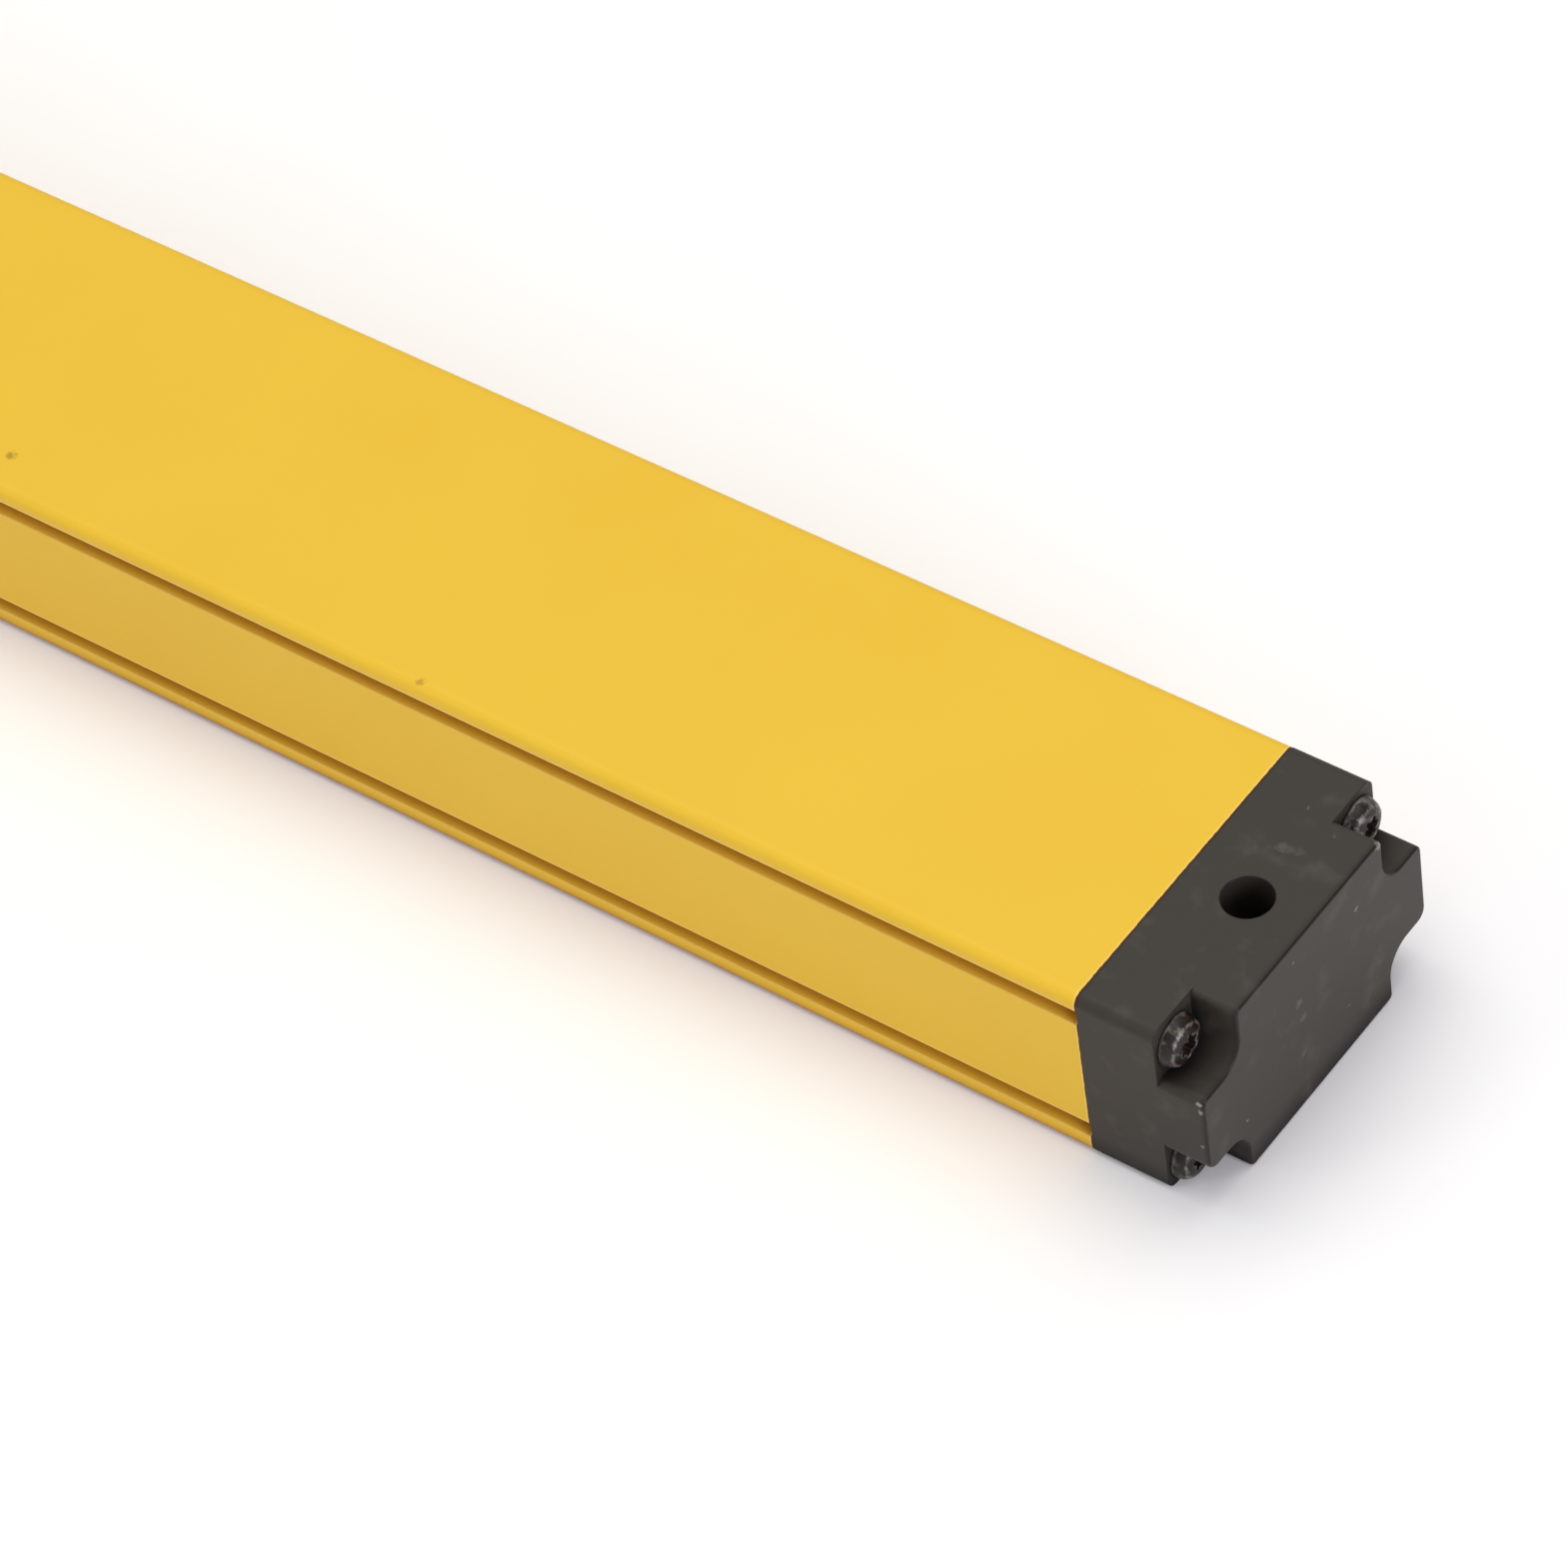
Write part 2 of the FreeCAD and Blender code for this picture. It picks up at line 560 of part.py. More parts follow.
def optic_block(block):
    middle = block_middle_x(block)
    half_length = BLOCK_PITCH / 2.0 - BLOCK_END_CLEARANCE
    half_width = BLOCK_WIDTH / 2.0
    x0, x1 = middle - half_length, middle + half_length
    beams = [beam_x(block * BEAMS_PER_BLOCK + index) for index in range(BEAMS_PER_BLOCK)]
    pieces = [
        box(x0, x1, -half_width, half_width, Z_BLOCK, Z_BLOCK + BLOCK_FRONT_PLATE),
        box(x0, x1, -half_width, half_width, Z_BOARD - BLOCK_BACK_FLANGE, Z_BOARD),
        box(x0, x1, -BEAM_TUBE_WALL, BEAM_TUBE_WALL, Z_BLOCK, Z_BOARD),
    ]
    pieces += [beam_cone(x, BEAM_TUBE_WALL) for x in beams]
    screws = [middle + side * BEAM_PITCH for side in (-1.0, 1.0)]
    z_blind = Z_BOARD - BLOCK_SCREW_BITE
    pieces += [rod_z(BLOCK_SCREW_BOSS_RADIUS, x, 0.0, Z_BLOCK + BLOCK_FRONT_PLATE, Z_BOARD) for x in screws]
    seat_half = LENS_RADIUS + LENS_PLATE_MARGIN + LENS_PLATE_CLEARANCE
    seat_end = half_length - BEAM_TUBE_WALL
    cuts = [beam_cone(x, 0.0) for x in beams]
    cuts += [rod_z(BLOCK_SCREW_SHANK_RADIUS, x, 0.0, z_blind, Z_BOARD) for x in screws]
    cuts.append(box(middle - seat_end, middle + seat_end, -seat_half, seat_half, Z_BLOCK, Z_LENS_SEAT))
    return joined(pieces).cut(cuts[0].multiFuse(cuts[1:]))


def lens_dome(x):
    """Rounded side of one lens, towards its diode."""
    ball_radius = (LENS_RADIUS ** 2 + LENS_RISE ** 2) / (2.0 * LENS_RISE)
    z_top = Z_LENS_SEAT + LENS_RISE

    def at(radius, z):
        return Vector(x + radius, 0.0, z)

    half = LENS_RADIUS / 2.0
    z_half = z_top - ball_radius + math.sqrt(ball_radius ** 2 - half ** 2)
    edges = [
        arc(at(0.0, z_top), at(half, z_half), at(LENS_RADIUS, Z_LENS_SEAT)),
        line(at(LENS_RADIUS, Z_LENS_SEAT), at(LENS_RADIUS, Z_BLOCK)),
        line(at(LENS_RADIUS, Z_BLOCK), at(0.0, Z_BLOCK)),
        line(at(0.0, Z_BLOCK), at(0.0, z_top)),
    ]
    return Part.Face(Part.Wire(edges)).revolve(Vector(x, 0, 0), Vector(0, 0, 1), 360.0)


def lens_strip(block):
    middle = block_middle_x(block)
    half_length = BLOCK_PITCH / 2.0 - BLOCK_END_CLEARANCE - BEAM_TUBE_WALL - LENS_PLATE_CLEARANCE
    half_width = LENS_RADIUS + LENS_PLATE_MARGIN
    plate = box(middle - half_length, middle + half_length, -half_width, half_width, Z_BLOCK, Z_LENS_SEAT)
    domes = [lens_dome(beam_x(block * BEAMS_PER_BLOCK + index)) for index in range(BEAMS_PER_BLOCK)]
    return joined([plate] + domes)


def diode(x):
    z0 = Z_BOARD - DIODE_HEIGHT
    body = box(x - DIODE_LENGTH / 2.0, x + DIODE_LENGTH / 2.0, -DIODE_WIDTH / 2.0, DIODE_WIDTH / 2.0, z0, Z_BOARD)
    dome = Part.makeSphere(DIODE_DOME_RADIUS, Vector(x, 0.0, z0), Vector(0, 0, -1), 0.0, 90.0, 360.0)
    return body.fuse(dome)


def beam_diodes(block):
    beams = [beam_x(block * BEAMS_PER_BLOCK + index) for index in range(BEAMS_PER_BLOCK)]
    return Part.makeCompound([diode(x) for x in beams])


def diode_board():
    x0 = X_PROFILE_START + BOARD_FROM_CONNECTOR_END
    x1 = X_PROFILE_END - BOARD_FROM_BLANK_END
    body = box(x0, x1, -BOARD_HALF, BOARD_HALF, Z_BOARD, Z_BOARD_BACK)
    holes = [rod_z(BLOCK_SCREW_HOLE_RADIUS, x, 0.0, Z_BOARD, Z_BOARD_BACK) for x in block_screw_places()]
    return body.cut(holes[0].multiFuse(holes[1:]))


def board_stop_pad():
    half = STOP_PAD_WIDTH / 2.0
    z_middle = Z_BOARD + BOARD_THICKNESS / 2.0
    x0 = X_PROFILE_END - BOARD_FROM_BLANK_END
    z_half = STOP_PAD_HEIGHT / 2.0
    return box(x0, X_PROFILE_END, -half, half, z_middle - z_half, z_middle + z_half)


def small_screw(x, y, z_seat, z_tip):
    head = rod_z(BLOCK_SCREW_HEAD_RADIUS, x, y, z_seat, z_seat + BLOCK_SCREW_HEAD_HEIGHT)
    shank = rod_z(BLOCK_SCREW_SHANK_RADIUS, x, y, z_tip, z_seat)
    return head.fuse(shank).removeSplitter()


def block_screws():
    z_tip = Z_BOARD - BLOCK_SCREW_BITE
    return Part.makeCompound([small_screw(x, 0.0, Z_BOARD_BACK, z_tip) for x in block_screw_places()])


def board_spacers():
    spacers = []
    for x, y in spacer_places():
        body = hexagon_z(SPACER_ACROSS_FLATS, x, y, Z_BOARD_BACK, Z_CONTROL_BOARD)
        spacers.append(body.cut(rod_z(BLOCK_SCREW_SHANK_RADIUS, x, y, Z_BOARD_BACK, Z_CONTROL_BOARD)))
    return Part.makeCompound(spacers)


def control_board_screws():
    return Part.makeCompound([
        small_screw(x, y, Z_CONTROL_TOP, Z_CONTROL_BOARD - CONTROL_BOARD_LIFT / 2.0)
        for x, y in spacer_places()
    ])


def control_board():
    x0 = X_PROFILE_START + CONTROL_BOARD_FROM_CONNECTOR_END
    half = CONTROL_BOARD_WIDTH / 2.0
    body = box(x0, x0 + CONTROL_BOARD_LENGTH, -half, half, Z_CONTROL_BOARD, Z_CONTROL_TOP)
    holes = [rod_z(BLOCK_SCREW_HOLE_RADIUS, x, y, Z_CONTROL_BOARD, Z_CONTROL_TOP) for x, y in spacer_places()]
    return body.cut(holes[0].multiFuse(holes[1:]))


def control_middle_x():
    return X_PROFILE_START + CONTROL_BOARD_FROM_CONNECTOR_END + CONTROL_BOARD_LENGTH / 2.0


def processor():
    x = control_middle_x()
    half = PROCESSOR_SIDE / 2.0
    return box(x - half, x + half, -half, half, Z_CONTROL_TOP, Z_CONTROL_TOP + PROCESSOR_HEIGHT)


def output_drivers():
    x = control_middle_x() - CONTROL_BOARD_LENGTH / 4.0
    chips = []
    for side in (-1.0, 1.0):
        y = side * DRIVER_SPACING / 2.0
        chips.append(box(
            x - DRIVER_LENGTH / 2.0, x + DRIVER_LENGTH / 2.0, y - DRIVER_WIDTH / 2.0, y + DRIVER_WIDTH / 2.0,
            Z_CONTROL_TOP, Z_CONTROL_TOP + DRIVER_HEIGHT))
    return Part.makeCompound(chips)


def board_link_header():
    x = control_middle_x() + CONTROL_BOARD_LENGTH / 8.0
    y0 = -LINK_HEADER_OFFSET - LINK_HEADER_WIDTH / 2.0
    half = LINK_HEADER_LENGTH / 2.0
    return box(x - half, x + half, y0, y0 + LINK_HEADER_WIDTH, Z_BOARD_BACK, Z_CONTROL_BOARD)


def capacitor(x, y):
    half = CAPACITOR_BASE / 2.0
    base = box(x - half, x + half, y - half, y + half, Z_BOARD_BACK, Z_BOARD_BACK + CAPACITOR_BASE_HEIGHT)
    can = rod_z(CAPACITOR_RADIUS, x, y, Z_BOARD_BACK, Z_BOARD_BACK + CAPACITOR_HEIGHT)
    return base.fuse(can)


def capacitors():
    x = control_middle_x() + CONTROL_BOARD_LENGTH / 2.0 + CAPACITOR_GAP + CAPACITOR_BASE / 2.0
    return Part.makeCompound([capacitor(x, side * CAPACITOR_SPACING / 2.0) for side in (-1.0, 1.0)])


def lamp_places():
    first = -(LAMP_COUNT - 1) * LAMP_PITCH / 2.0
    return [first + index * LAMP_PITCH for index in range(LAMP_COUNT)]


def status_lamps():
    x = X_PROFILE_START + LAMPS_FROM_CONNECTOR_END
    half_x = LAMP_LENGTH / 2.0
    half_y = LAMP_WIDTH / 2.0
    return Part.makeCompound([
        box(x - half_x, x + half_x, y - half_y, y + half_y, Z_BOARD - LAMP_HEIGHT, Z_BOARD)
        for y in lamp_places()
    ])


def light_guide():
    """Clear rods that carry the lamps' light to the window, joined by a bridge on two legs."""
    x = X_PROFILE_START + LAMPS_FROM_CONNECTOR_END
    z_low = Z_SEAL + GUIDE_WINDOW_GAP
    z_high = Z_BOARD - LAMP_HEIGHT - GUIDE_GAP
    z_bridge = (z_low + z_high) / 2.0
    half = LAMP_COUNT * LAMP_PITCH / 2.0
    half_x = GUIDE_BRIDGE_WIDTH / 2.0
    pieces = [box(x - half_x, x + half_x, -half, half, z_bridge, z_bridge + GUIDE_BRIDGE_THICKNESS)]
    pieces += [rod_z(GUIDE_ROD_RADIUS, x, y, z_low, z_high) for y in lamp_places()]
    for y0 in (-half, half - GUIDE_LEG):
        pieces.append(box(x - half_x, x + half_x, y0, y0 + GUIDE_LEG, z_bridge, Z_BOARD))
    return joined(pieces)


def pin_places():
    places = []
    for index in range(PIN_COUNT):
        turn = 2.0 * math.pi * index / PIN_COUNT
        y = -CONNECTOR_OFFSET + PIN_CIRCLE_RADIUS * math.cos(turn)
        places.append((y, Z_MIDDLE + PIN_CIRCLE_RADIUS * math.sin(turn)))
    return places


def connector_shell():
    """Metal shell, drawn at the blank end: outer thread, hexagon, and tail through the cap wall."""
    face = X_BLANK_FACE
    rim = face + CONNECTOR_REACH
    y, z = -CONNECTOR_OFFSET, Z_MIDDLE
    tail = face - CAP_OUTER_WALL - CONNECTOR_TAIL
    pieces = [
        rod_x(CONNECTOR_THREAD_RADIUS, tail, rim, y, z),
        hexagon_x(CONNECTOR_HEX_FLATS, face, face + CONNECTOR_HEX_LENGTH, y, z),
    ]
    body = joined(pieces)
    groove = rod_x(O_RING_RADIUS + O_RING_SECTION / 2.0, face, face + O_RING_SECTION, y, z)
    groove = groove.cut(rod_x(CONNECTOR_THREAD_RADIUS, face, face + O_RING_SECTION, y, z))
    body = body.cut(groove)
    body = body.cut(rod_x(CONNECTOR_SOCKET_RADIUS, tail, rim, y, z))
    reach = CONNECTOR_SOCKET_RADIUS - CONNECTOR_KEY_HEIGHT
    key = box(
        rim - CONNECTOR_SOCKET_DEPTH, rim, reach, CONNECTOR_THREAD_RADIUS - CONNECTOR_KEY_HEIGHT,
        -CONNECTOR_KEY_WIDTH / 2.0, CONNECTOR_KEY_WIDTH / 2.0)
    key.rotate(Vector(0, 0, 0), Vector(1, 0, 0), 45.0)
    key.translate(Vector(0, y, z))
    return to_connector_end(body.fuse(key).removeSplitter())


def connector_insert():
    face = X_BLANK_FACE
    y, z = -CONNECTOR_OFFSET, Z_MIDDLE
    x0 = face - CAP_OUTER_WALL - CONNECTOR_TAIL
    x1 = face + CONNECTOR_REACH - CONNECTOR_SOCKET_DEPTH
    body = rod_x(CONNECTOR_SOCKET_RADIUS, x0, x1, y, z)
    pins = [rod_x(PIN_RADIUS, x0, x1, pin_y, pin_z) for pin_y, pin_z in pin_places()]
    return to_connector_end(body.cut(pins[0].multiFuse(pins[1:])))


def connector_pins():
    x1 = X_BLANK_FACE + CONNECTOR_REACH - PIN_SHORT_OF_RIM
    x0 = X_PROFILE_END - CONNECTOR_BOARD_FROM_END - BOARD_THICKNESS
    pins = [rod_x(PIN_RADIUS, x0, x1, y, z) for y, z in pin_places()]
    return to_connector_end(Part.makeCompound(pins))


def connector_o_ring():
    face = X_BLANK_FACE
    y, z = -CONNECTOR_OFFSET, Z_MIDDLE
    outer = O_RING_RADIUS + O_RING_SECTION / 2.0
    body = rod_x(outer, face, face + O_RING_SECTION, y, z)
    return to_connector_end(body.cut(rod_x(CONNECTOR_THREAD_RADIUS, face, face + O_RING_SECTION, y, z)))


def connector_ring_nut():
    x1 = X_BLANK_FACE - CAP_OUTER_WALL
    x0 = x1 - RING_NUT_THICKNESS
    y, z = -CONNECTOR_OFFSET, Z_MIDDLE
    body = rod_x(RING_NUT_RADIUS, x0, x1, y, z).cut(rod_x(CONNECTOR_THREAD_RADIUS, x0, x1, y, z))
    half = RING_NUT_NOTCH / 2.0
    depth = (RING_NUT_RADIUS - CONNECTOR_THREAD_RADIUS) / 2.0
    for side in (-1.0, 1.0):
        low_y, high_y = sorted((y + side * (RING_NUT_RADIUS - depth), y + side * (RING_NUT_RADIUS + depth)))
        body = body.cut(box(x0, x1, low_y, high_y, z - half, z + half))
    return to_connector_end(body)


def connector_board():
    """Small upright board that the pins are soldered into."""
    x1 = X_PROFILE_END - CONNECTOR_BOARD_FROM_END
    x0 = x1 - BOARD_THICKNESS
    half = CONNECTOR_BOARD_WIDTH / 2.0
    y0 = -CONNECTOR_OFFSET - CONNECTOR_BOARD_BELOW
    body = box(x0, x1, y0, y0 + CONNECTOR_BOARD_WIDTH, Z_MIDDLE - half / 2.0 - PIN_RADIUS, Z_MIDDLE + half / 2.0)
    holes = [
        rod_x(PIN_RADIUS + PIN_HOLE_CLEARANCE, x0, x1, pin_y, pin_z)
        for pin_y, pin_z in pin_places()
    ]
    return to_connector_end(body.cut(holes[0].multiFuse(holes[1:])))


def link_block():
    """Angle header between the upright board and the diode board."""
    x1 = X_PROFILE_END - CONNECTOR_BOARD_FROM_END - BOARD_THICKNESS
    x0 = X_PROFILE_END - BOARD_FROM_CONNECTOR_END - LINK_BLOCK_OVERLAP
    y0 = -CONNECTOR_OFFSET - CONNECTOR_BOARD_BELOW + PIN_RADIUS
    body = box(x0, x1, y0, y0 + LINK_BLOCK_WIDTH, Z_BOARD - LINK_BLOCK_HEIGHT, Z_BOARD)
    return to_connector_end(body)


def save(shape, node):
    shape.exportStep("parts/" + node + ".step")


def main():
    os.makedirs("parts", exist_ok=True)
    save(housing_profile(), "housing_profile")
    save(front_window(), "front_window")
    save(window_seal(-1.0), "window_seal_near")
    save(window_seal(1.0), "window_seal_far")
    save(end_cap_blank(), "end_cap_blank")
    save(end_cap_connector(), "end_cap_connector")
    save(gasket(False), "gasket_blank_end")
    save(gasket(True), "gasket_connector_end")
    screws = cap_screws()
    save(screws, "cap_screws_blank_end")
    save(to_connector_end(screws), "cap_screws_connector_end")
    for block in range(BLOCK_COUNT):
        number = str(block + 1)
        save(optic_block(block), "optic_block_" + number)
        save(lens_strip(block), "lens_strip_" + number)
        save(beam_diodes(block), "beam_diodes_" + number)
    save(diode_board(), "diode_board")
    save(board_stop_pad(), "board_stop_pad")
    save(block_screws(), "block_screws")
    save(control_board(), "control_board")
    save(board_spacers(), "board_spacers")
    save(control_board_screws(), "control_board_screws")
    save(processor(), "processor")
    save(output_drivers(), "output_drivers")
    save(board_link_header(), "board_link_header")
    save(capacitors(), "capacitors")
    save(status_lamps(), "status_lamps")
    save(light_guide(), "light_guide")
    save(connector_shell(), "connector_shell")
    save(connector_insert(), "connector_insert")
    save(connector_pins(), "connector_pins")
    save(connector_o_ring(), "connector_o_ring")
    save(connector_ring_nut(), "connector_ring_nut")
    save(connector_board(), "connector_board")
    save(link_block(), "link_block")


main()
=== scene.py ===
import math

import bmesh
import bpy
from bpy.props import FloatProperty, FloatVectorProperty, IntProperty, PointerProperty
from mathutils import Matrix, Vector, noise


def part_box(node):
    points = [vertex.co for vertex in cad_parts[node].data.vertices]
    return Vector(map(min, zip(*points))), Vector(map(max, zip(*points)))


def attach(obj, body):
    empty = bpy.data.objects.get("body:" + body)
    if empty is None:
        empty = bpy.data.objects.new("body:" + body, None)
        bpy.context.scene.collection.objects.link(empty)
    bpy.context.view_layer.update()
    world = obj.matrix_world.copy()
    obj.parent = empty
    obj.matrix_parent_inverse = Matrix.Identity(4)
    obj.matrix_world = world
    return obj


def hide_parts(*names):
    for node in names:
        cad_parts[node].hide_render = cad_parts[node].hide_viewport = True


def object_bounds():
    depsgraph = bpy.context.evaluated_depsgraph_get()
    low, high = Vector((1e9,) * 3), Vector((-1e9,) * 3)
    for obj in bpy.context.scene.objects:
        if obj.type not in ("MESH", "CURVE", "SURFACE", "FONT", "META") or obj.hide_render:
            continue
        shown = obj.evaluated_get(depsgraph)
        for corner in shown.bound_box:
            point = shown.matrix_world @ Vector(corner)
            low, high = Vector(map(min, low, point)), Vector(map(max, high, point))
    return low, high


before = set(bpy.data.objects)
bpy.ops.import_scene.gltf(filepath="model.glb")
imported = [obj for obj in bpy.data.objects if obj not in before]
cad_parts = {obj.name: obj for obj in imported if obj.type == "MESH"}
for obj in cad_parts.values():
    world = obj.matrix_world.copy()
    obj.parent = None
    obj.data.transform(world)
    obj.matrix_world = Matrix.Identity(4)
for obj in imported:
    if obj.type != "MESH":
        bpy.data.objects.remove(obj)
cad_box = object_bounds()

bl_info = {
    "name": "Safety light curtain",
    "version": (1, 0, 0),
    "blender": (4, 5, 0),
    "location": "View3D > Sidebar > Light Curtain",
    "description": "Dresses the frame of a safety light curtain and sets its studio stage",
    "category": "Object",
}

BODY = "root"
MM = 0.001


def linear(hex_colour):
    """Linear RGBA of an sRGB colour written as #RRGGBB."""
    channels = [int(hex_colour[start:start + 2], 16) / 255.0 for start in (1, 3, 5)]
    return tuple(c / 12.92 if c <= 0.04045 else ((c + 0.055) / 1.055) ** 2.4 for c in channels) + (1.0,)


def colour(name, description, hex_colour):
    return FloatVectorProperty(
        name=name, description=description, subtype="COLOR", size=4, min=0.0, max=1.0, default=linear(hex_colour))


def length(name, description, millimetres):
    return FloatProperty(name=name, description=description, unit="LENGTH", precision=5, default=millimetres * MM)


def amount(name, description, value):
    return FloatProperty(name=name, description=description, subtype="FACTOR", min=0.0, max=1.0, default=value)


def power(name, description, watts):
    return FloatProperty(name=name, description=description, unit="POWER", default=watts)


def angle(name, description, degrees):
    return FloatProperty(name=name, description=description, subtype="ANGLE", default=math.radians(degrees))


class HousingSettings(bpy.types.PropertyGroup):
    """Finish of the extruded housing."""

    coat: colour("Coat", "Colour of the powder coat", "#E2B936")
    coat_shade: colour("Coat shade", "Deeper tone in the coat's faint mottling", "#DEB230")
    speck: colour("Specks", "Dark specks caught in the coat", "#7A5A1E")
    # Painted highlight on the grooves' lips and beside each cap
    painted_highlight: colour("Coat on edges", "Paler tone where the coat is thin on sharp edges", "#FFDDA0")
    # Painted shade: the tone of the coat deep in the grooves
    grime: colour("Groove grime", "Brown dust settled deep in the grooves", "#9C5400")
    # Painted shadow in the gap at each cap
    cut: colour("Cut end", "Dark line where the coat ends at a cap", "#4A2C06")
    mottle: length("Mottling", "Size of the coat's tone patches", 26.0)
    peel: length("Orange peel", "Width of the coat's fine waves", 0.9)
    speck_spacing: length("Speck spacing", "Usual distance between dark specks", 38.0)
    speck_size: length("Speck size", "Radius of a dark speck", 0.32)
    # Reach of the painted shade in the grooves
    hollow: length("Hollows", "Reach of the dust in the grooves", 3.0)
    lip: length("Lips", "Width of the paler line on the grooves' lips", 0.4)
    cut_width: length("Cut width", "Greatest width of the dark line at a cap", 0.3)
    cut_wave: length("Cut wave", "Length over which that line's width wavers", 0.9)
    roughness: amount("Roughness", "Roughness of the coat", 0.42)


class CapSettings(bpy.types.PropertyGroup):
    """Finish of the moulded end caps."""

    plastic: colour("Plastic", "Colour of the moulded caps", "#35302A")
    # Also the colour of one painted highlight among the cap marks
    worn: colour("Worn plastic", "Colour of nicks, scuffs and specks", "#8C867E")
    # Painted shade in the pockets and along the edges; the dark chips share this tone
    grime: colour("Grime", "Dark dust settled in the pockets", "#0E0C0A")
    grain: length("Grain", "Width of the moulding's fine grain", 0.45)
    scuff: length("Scuffs", "Usual length of the rubbed patches", 5.0)
    # These three set where painted shade darkens the caps: along sharp edges, which are also smoother and rounded in
    # the shading, along the end face's rounded edge, and in a border beside it
    edge: length("Edge polish", "Reach of the handling polish from an edge", 0.3)
    end_edge: length("End edge", "Depth of the end face's rounded edge, which is smooth from the mould", 0.5)
    border: length("Border", "Width of the rubbed border beside the end face's edge", 0.9)
    # Reach of the painted shade in the pockets
    hollow: length("Hollows", "Reach of the grime in the pockets", 5.0)
    speck_spacing: length("Speck spacing", "Usual distance between light specks", 9.0)
    speck_size: length("Speck size", "Radius of a light speck", 0.17)
    roughness: amount("Roughness", "Roughness of the plastic", 0.5)


class ScrewSettings(bpy.types.PropertyGroup):
    """Shape and finish of the pan head cap screws."""

    oxide: colour("Black oxide", "Colour of the oxide layer", "#120E0A")
    steel: colour("Bare steel", "Colour where the oxide has worn off", "#B0A99E")
    rust: colour("Rust", "Tint in the sheltered recess and in blotches", "#26150F")
    head_radius: length("Head radius", "Radius of the pan head", 3.65)
    head_height: length("Head height", "Height of the pan head", 2.4)
    shank_radius: length("Shank radius", "Outer radius of the thread", 1.75)
    pitch: length("Thread pitch", "Pitch of the thread", 1.27)
    recess_radius: length("Recess radius", "Radius to the tips of the six lobes", 1.8)
    recess_depth: length("Recess depth", "Depth of the six-lobe recess", 1.3)
    lobes: IntProperty(name="Lobes", description="Number of lobes in the recess", default=6, min=4, max=8)
    dent: length("Dents", "Height of the small dents in the head", 0.045)
    chip: length("Chips", "Size of the chips in the oxide", 1.3)
    blotch: length("Blotches", "Size of the rusty blotches", 3.0)


class ConnectorSettings(bpy.types.PropertyGroup):
    """Shape and finish of the round plug connector's shell."""

    pitch: length("Thread pitch", "Pitch of the shell's thread", 1.0)
    depth: length("Thread depth", "Depth of the shell's thread", 0.55)
    chamfer: length("Chamfer", "Chamfer at the thread's mouth", 0.6)
    across_flats: length("Across flats", "Size of the hexagon", 14.0)
    wall: length("Wall", "Wall round the socket, up to the thread's crests", 1.2)
    flange: length("Flange", "Thickness of the hexagon", 2.5)
    lead_in: length("Lead-in", "Chamfer at the socket's mouth", 0.25)
    tail: length("Tail", "Chamfer at the shell's inner end", 0.4)


class StageSettings(bpy.types.PropertyGroup):
    """Floor, lights and camera."""

    floor: colour("Floor", "Colour of the plain floor", "#F2F1EF")
    floor_side: length("Floor side", "Length of the floor's side", 6000.0)
    sky: colour("Surround", "Colour of the light from all round", "#F4F5F7")
    flag: colour("Black flag", "Colour of the dark cloth hung beyond the end cap", "#303032")
    sky_strength: amount("Surround strength", "Strength of the light from all round", 0.6)
    top_power: power("Overhead power", "Power of the overhead softbox", 16.8)
    left_power: power("Left power", "Power of the softbox left of the camera", 1.8)
    right_power: power("Right power", "Power of the softbox right of the camera", 18.0)
    cool: colour("Right light", "Slightly cool tint of the softbox right of the camera", "#F3F0FF")
    warm: colour("Other lights", "Tint of the overhead and left softboxes", "#FFFEFA")
    lens: FloatProperty(
        name="Lens", description="Focal length of the camera", subtype="DISTANCE_CAMERA", default=160.25)
    place: FloatVectorProperty(
        name="Camera place", description="Where the camera stands", unit="LENGTH",
        default=(0.54490, -0.44841, 0.68004))
    azimuth: angle("Azimuth", "Turn of the camera round the upright", 43.2585)
    elevation: angle("Elevation", "Height of the camera above the horizon", 47.4446)
    roll: angle("Roll", "Tilt of the camera about its own axis", -9.7071)


class LightCurtainSettings(bpy.types.PropertyGroup):
    """All settings of the light curtain."""

    housing: PointerProperty(type=HousingSettings)
    cap: PointerProperty(type=CapSettings)
    screw: PointerProperty(type=ScrewSettings)
    connector: PointerProperty(type=ConnectorSettings)
    stage: PointerProperty(type=StageSettings)


# Materials


def add(tree, kind, inputs=None, **settings):
    """Add a node to a tree, set its fields and its sockets, and link the sockets that are given a node's output."""
    made = tree.nodes.new(kind)
    for field, value in settings.items():
        setattr(made, field, value)
    for socket, value in (inputs or {}).items():
        if isinstance(value, bpy.types.NodeSocket):
            tree.links.new(value, made.inputs[socket])
        else:
            made.inputs[socket].default_value = value
    return made


def start(name):
    """A new material with an empty tree, and the part's own coordinates in metres."""
    material = bpy.data.materials.new(name)
    material.use_nodes = True
    material.node_tree.nodes.clear()
    place = add(material.node_tree, "ShaderNodeTexCoord").outputs["Object"]
    return material, material.node_tree, place


def end(tree, surface):
    """Link a surface shader to the tree's output."""
    add(tree, "ShaderNodeOutputMaterial", {"Surface": surface.outputs[0]})


def per_metre(size):
    """Texture scale for a pattern whose real repeat is this many metres."""
    return 1.0 / size


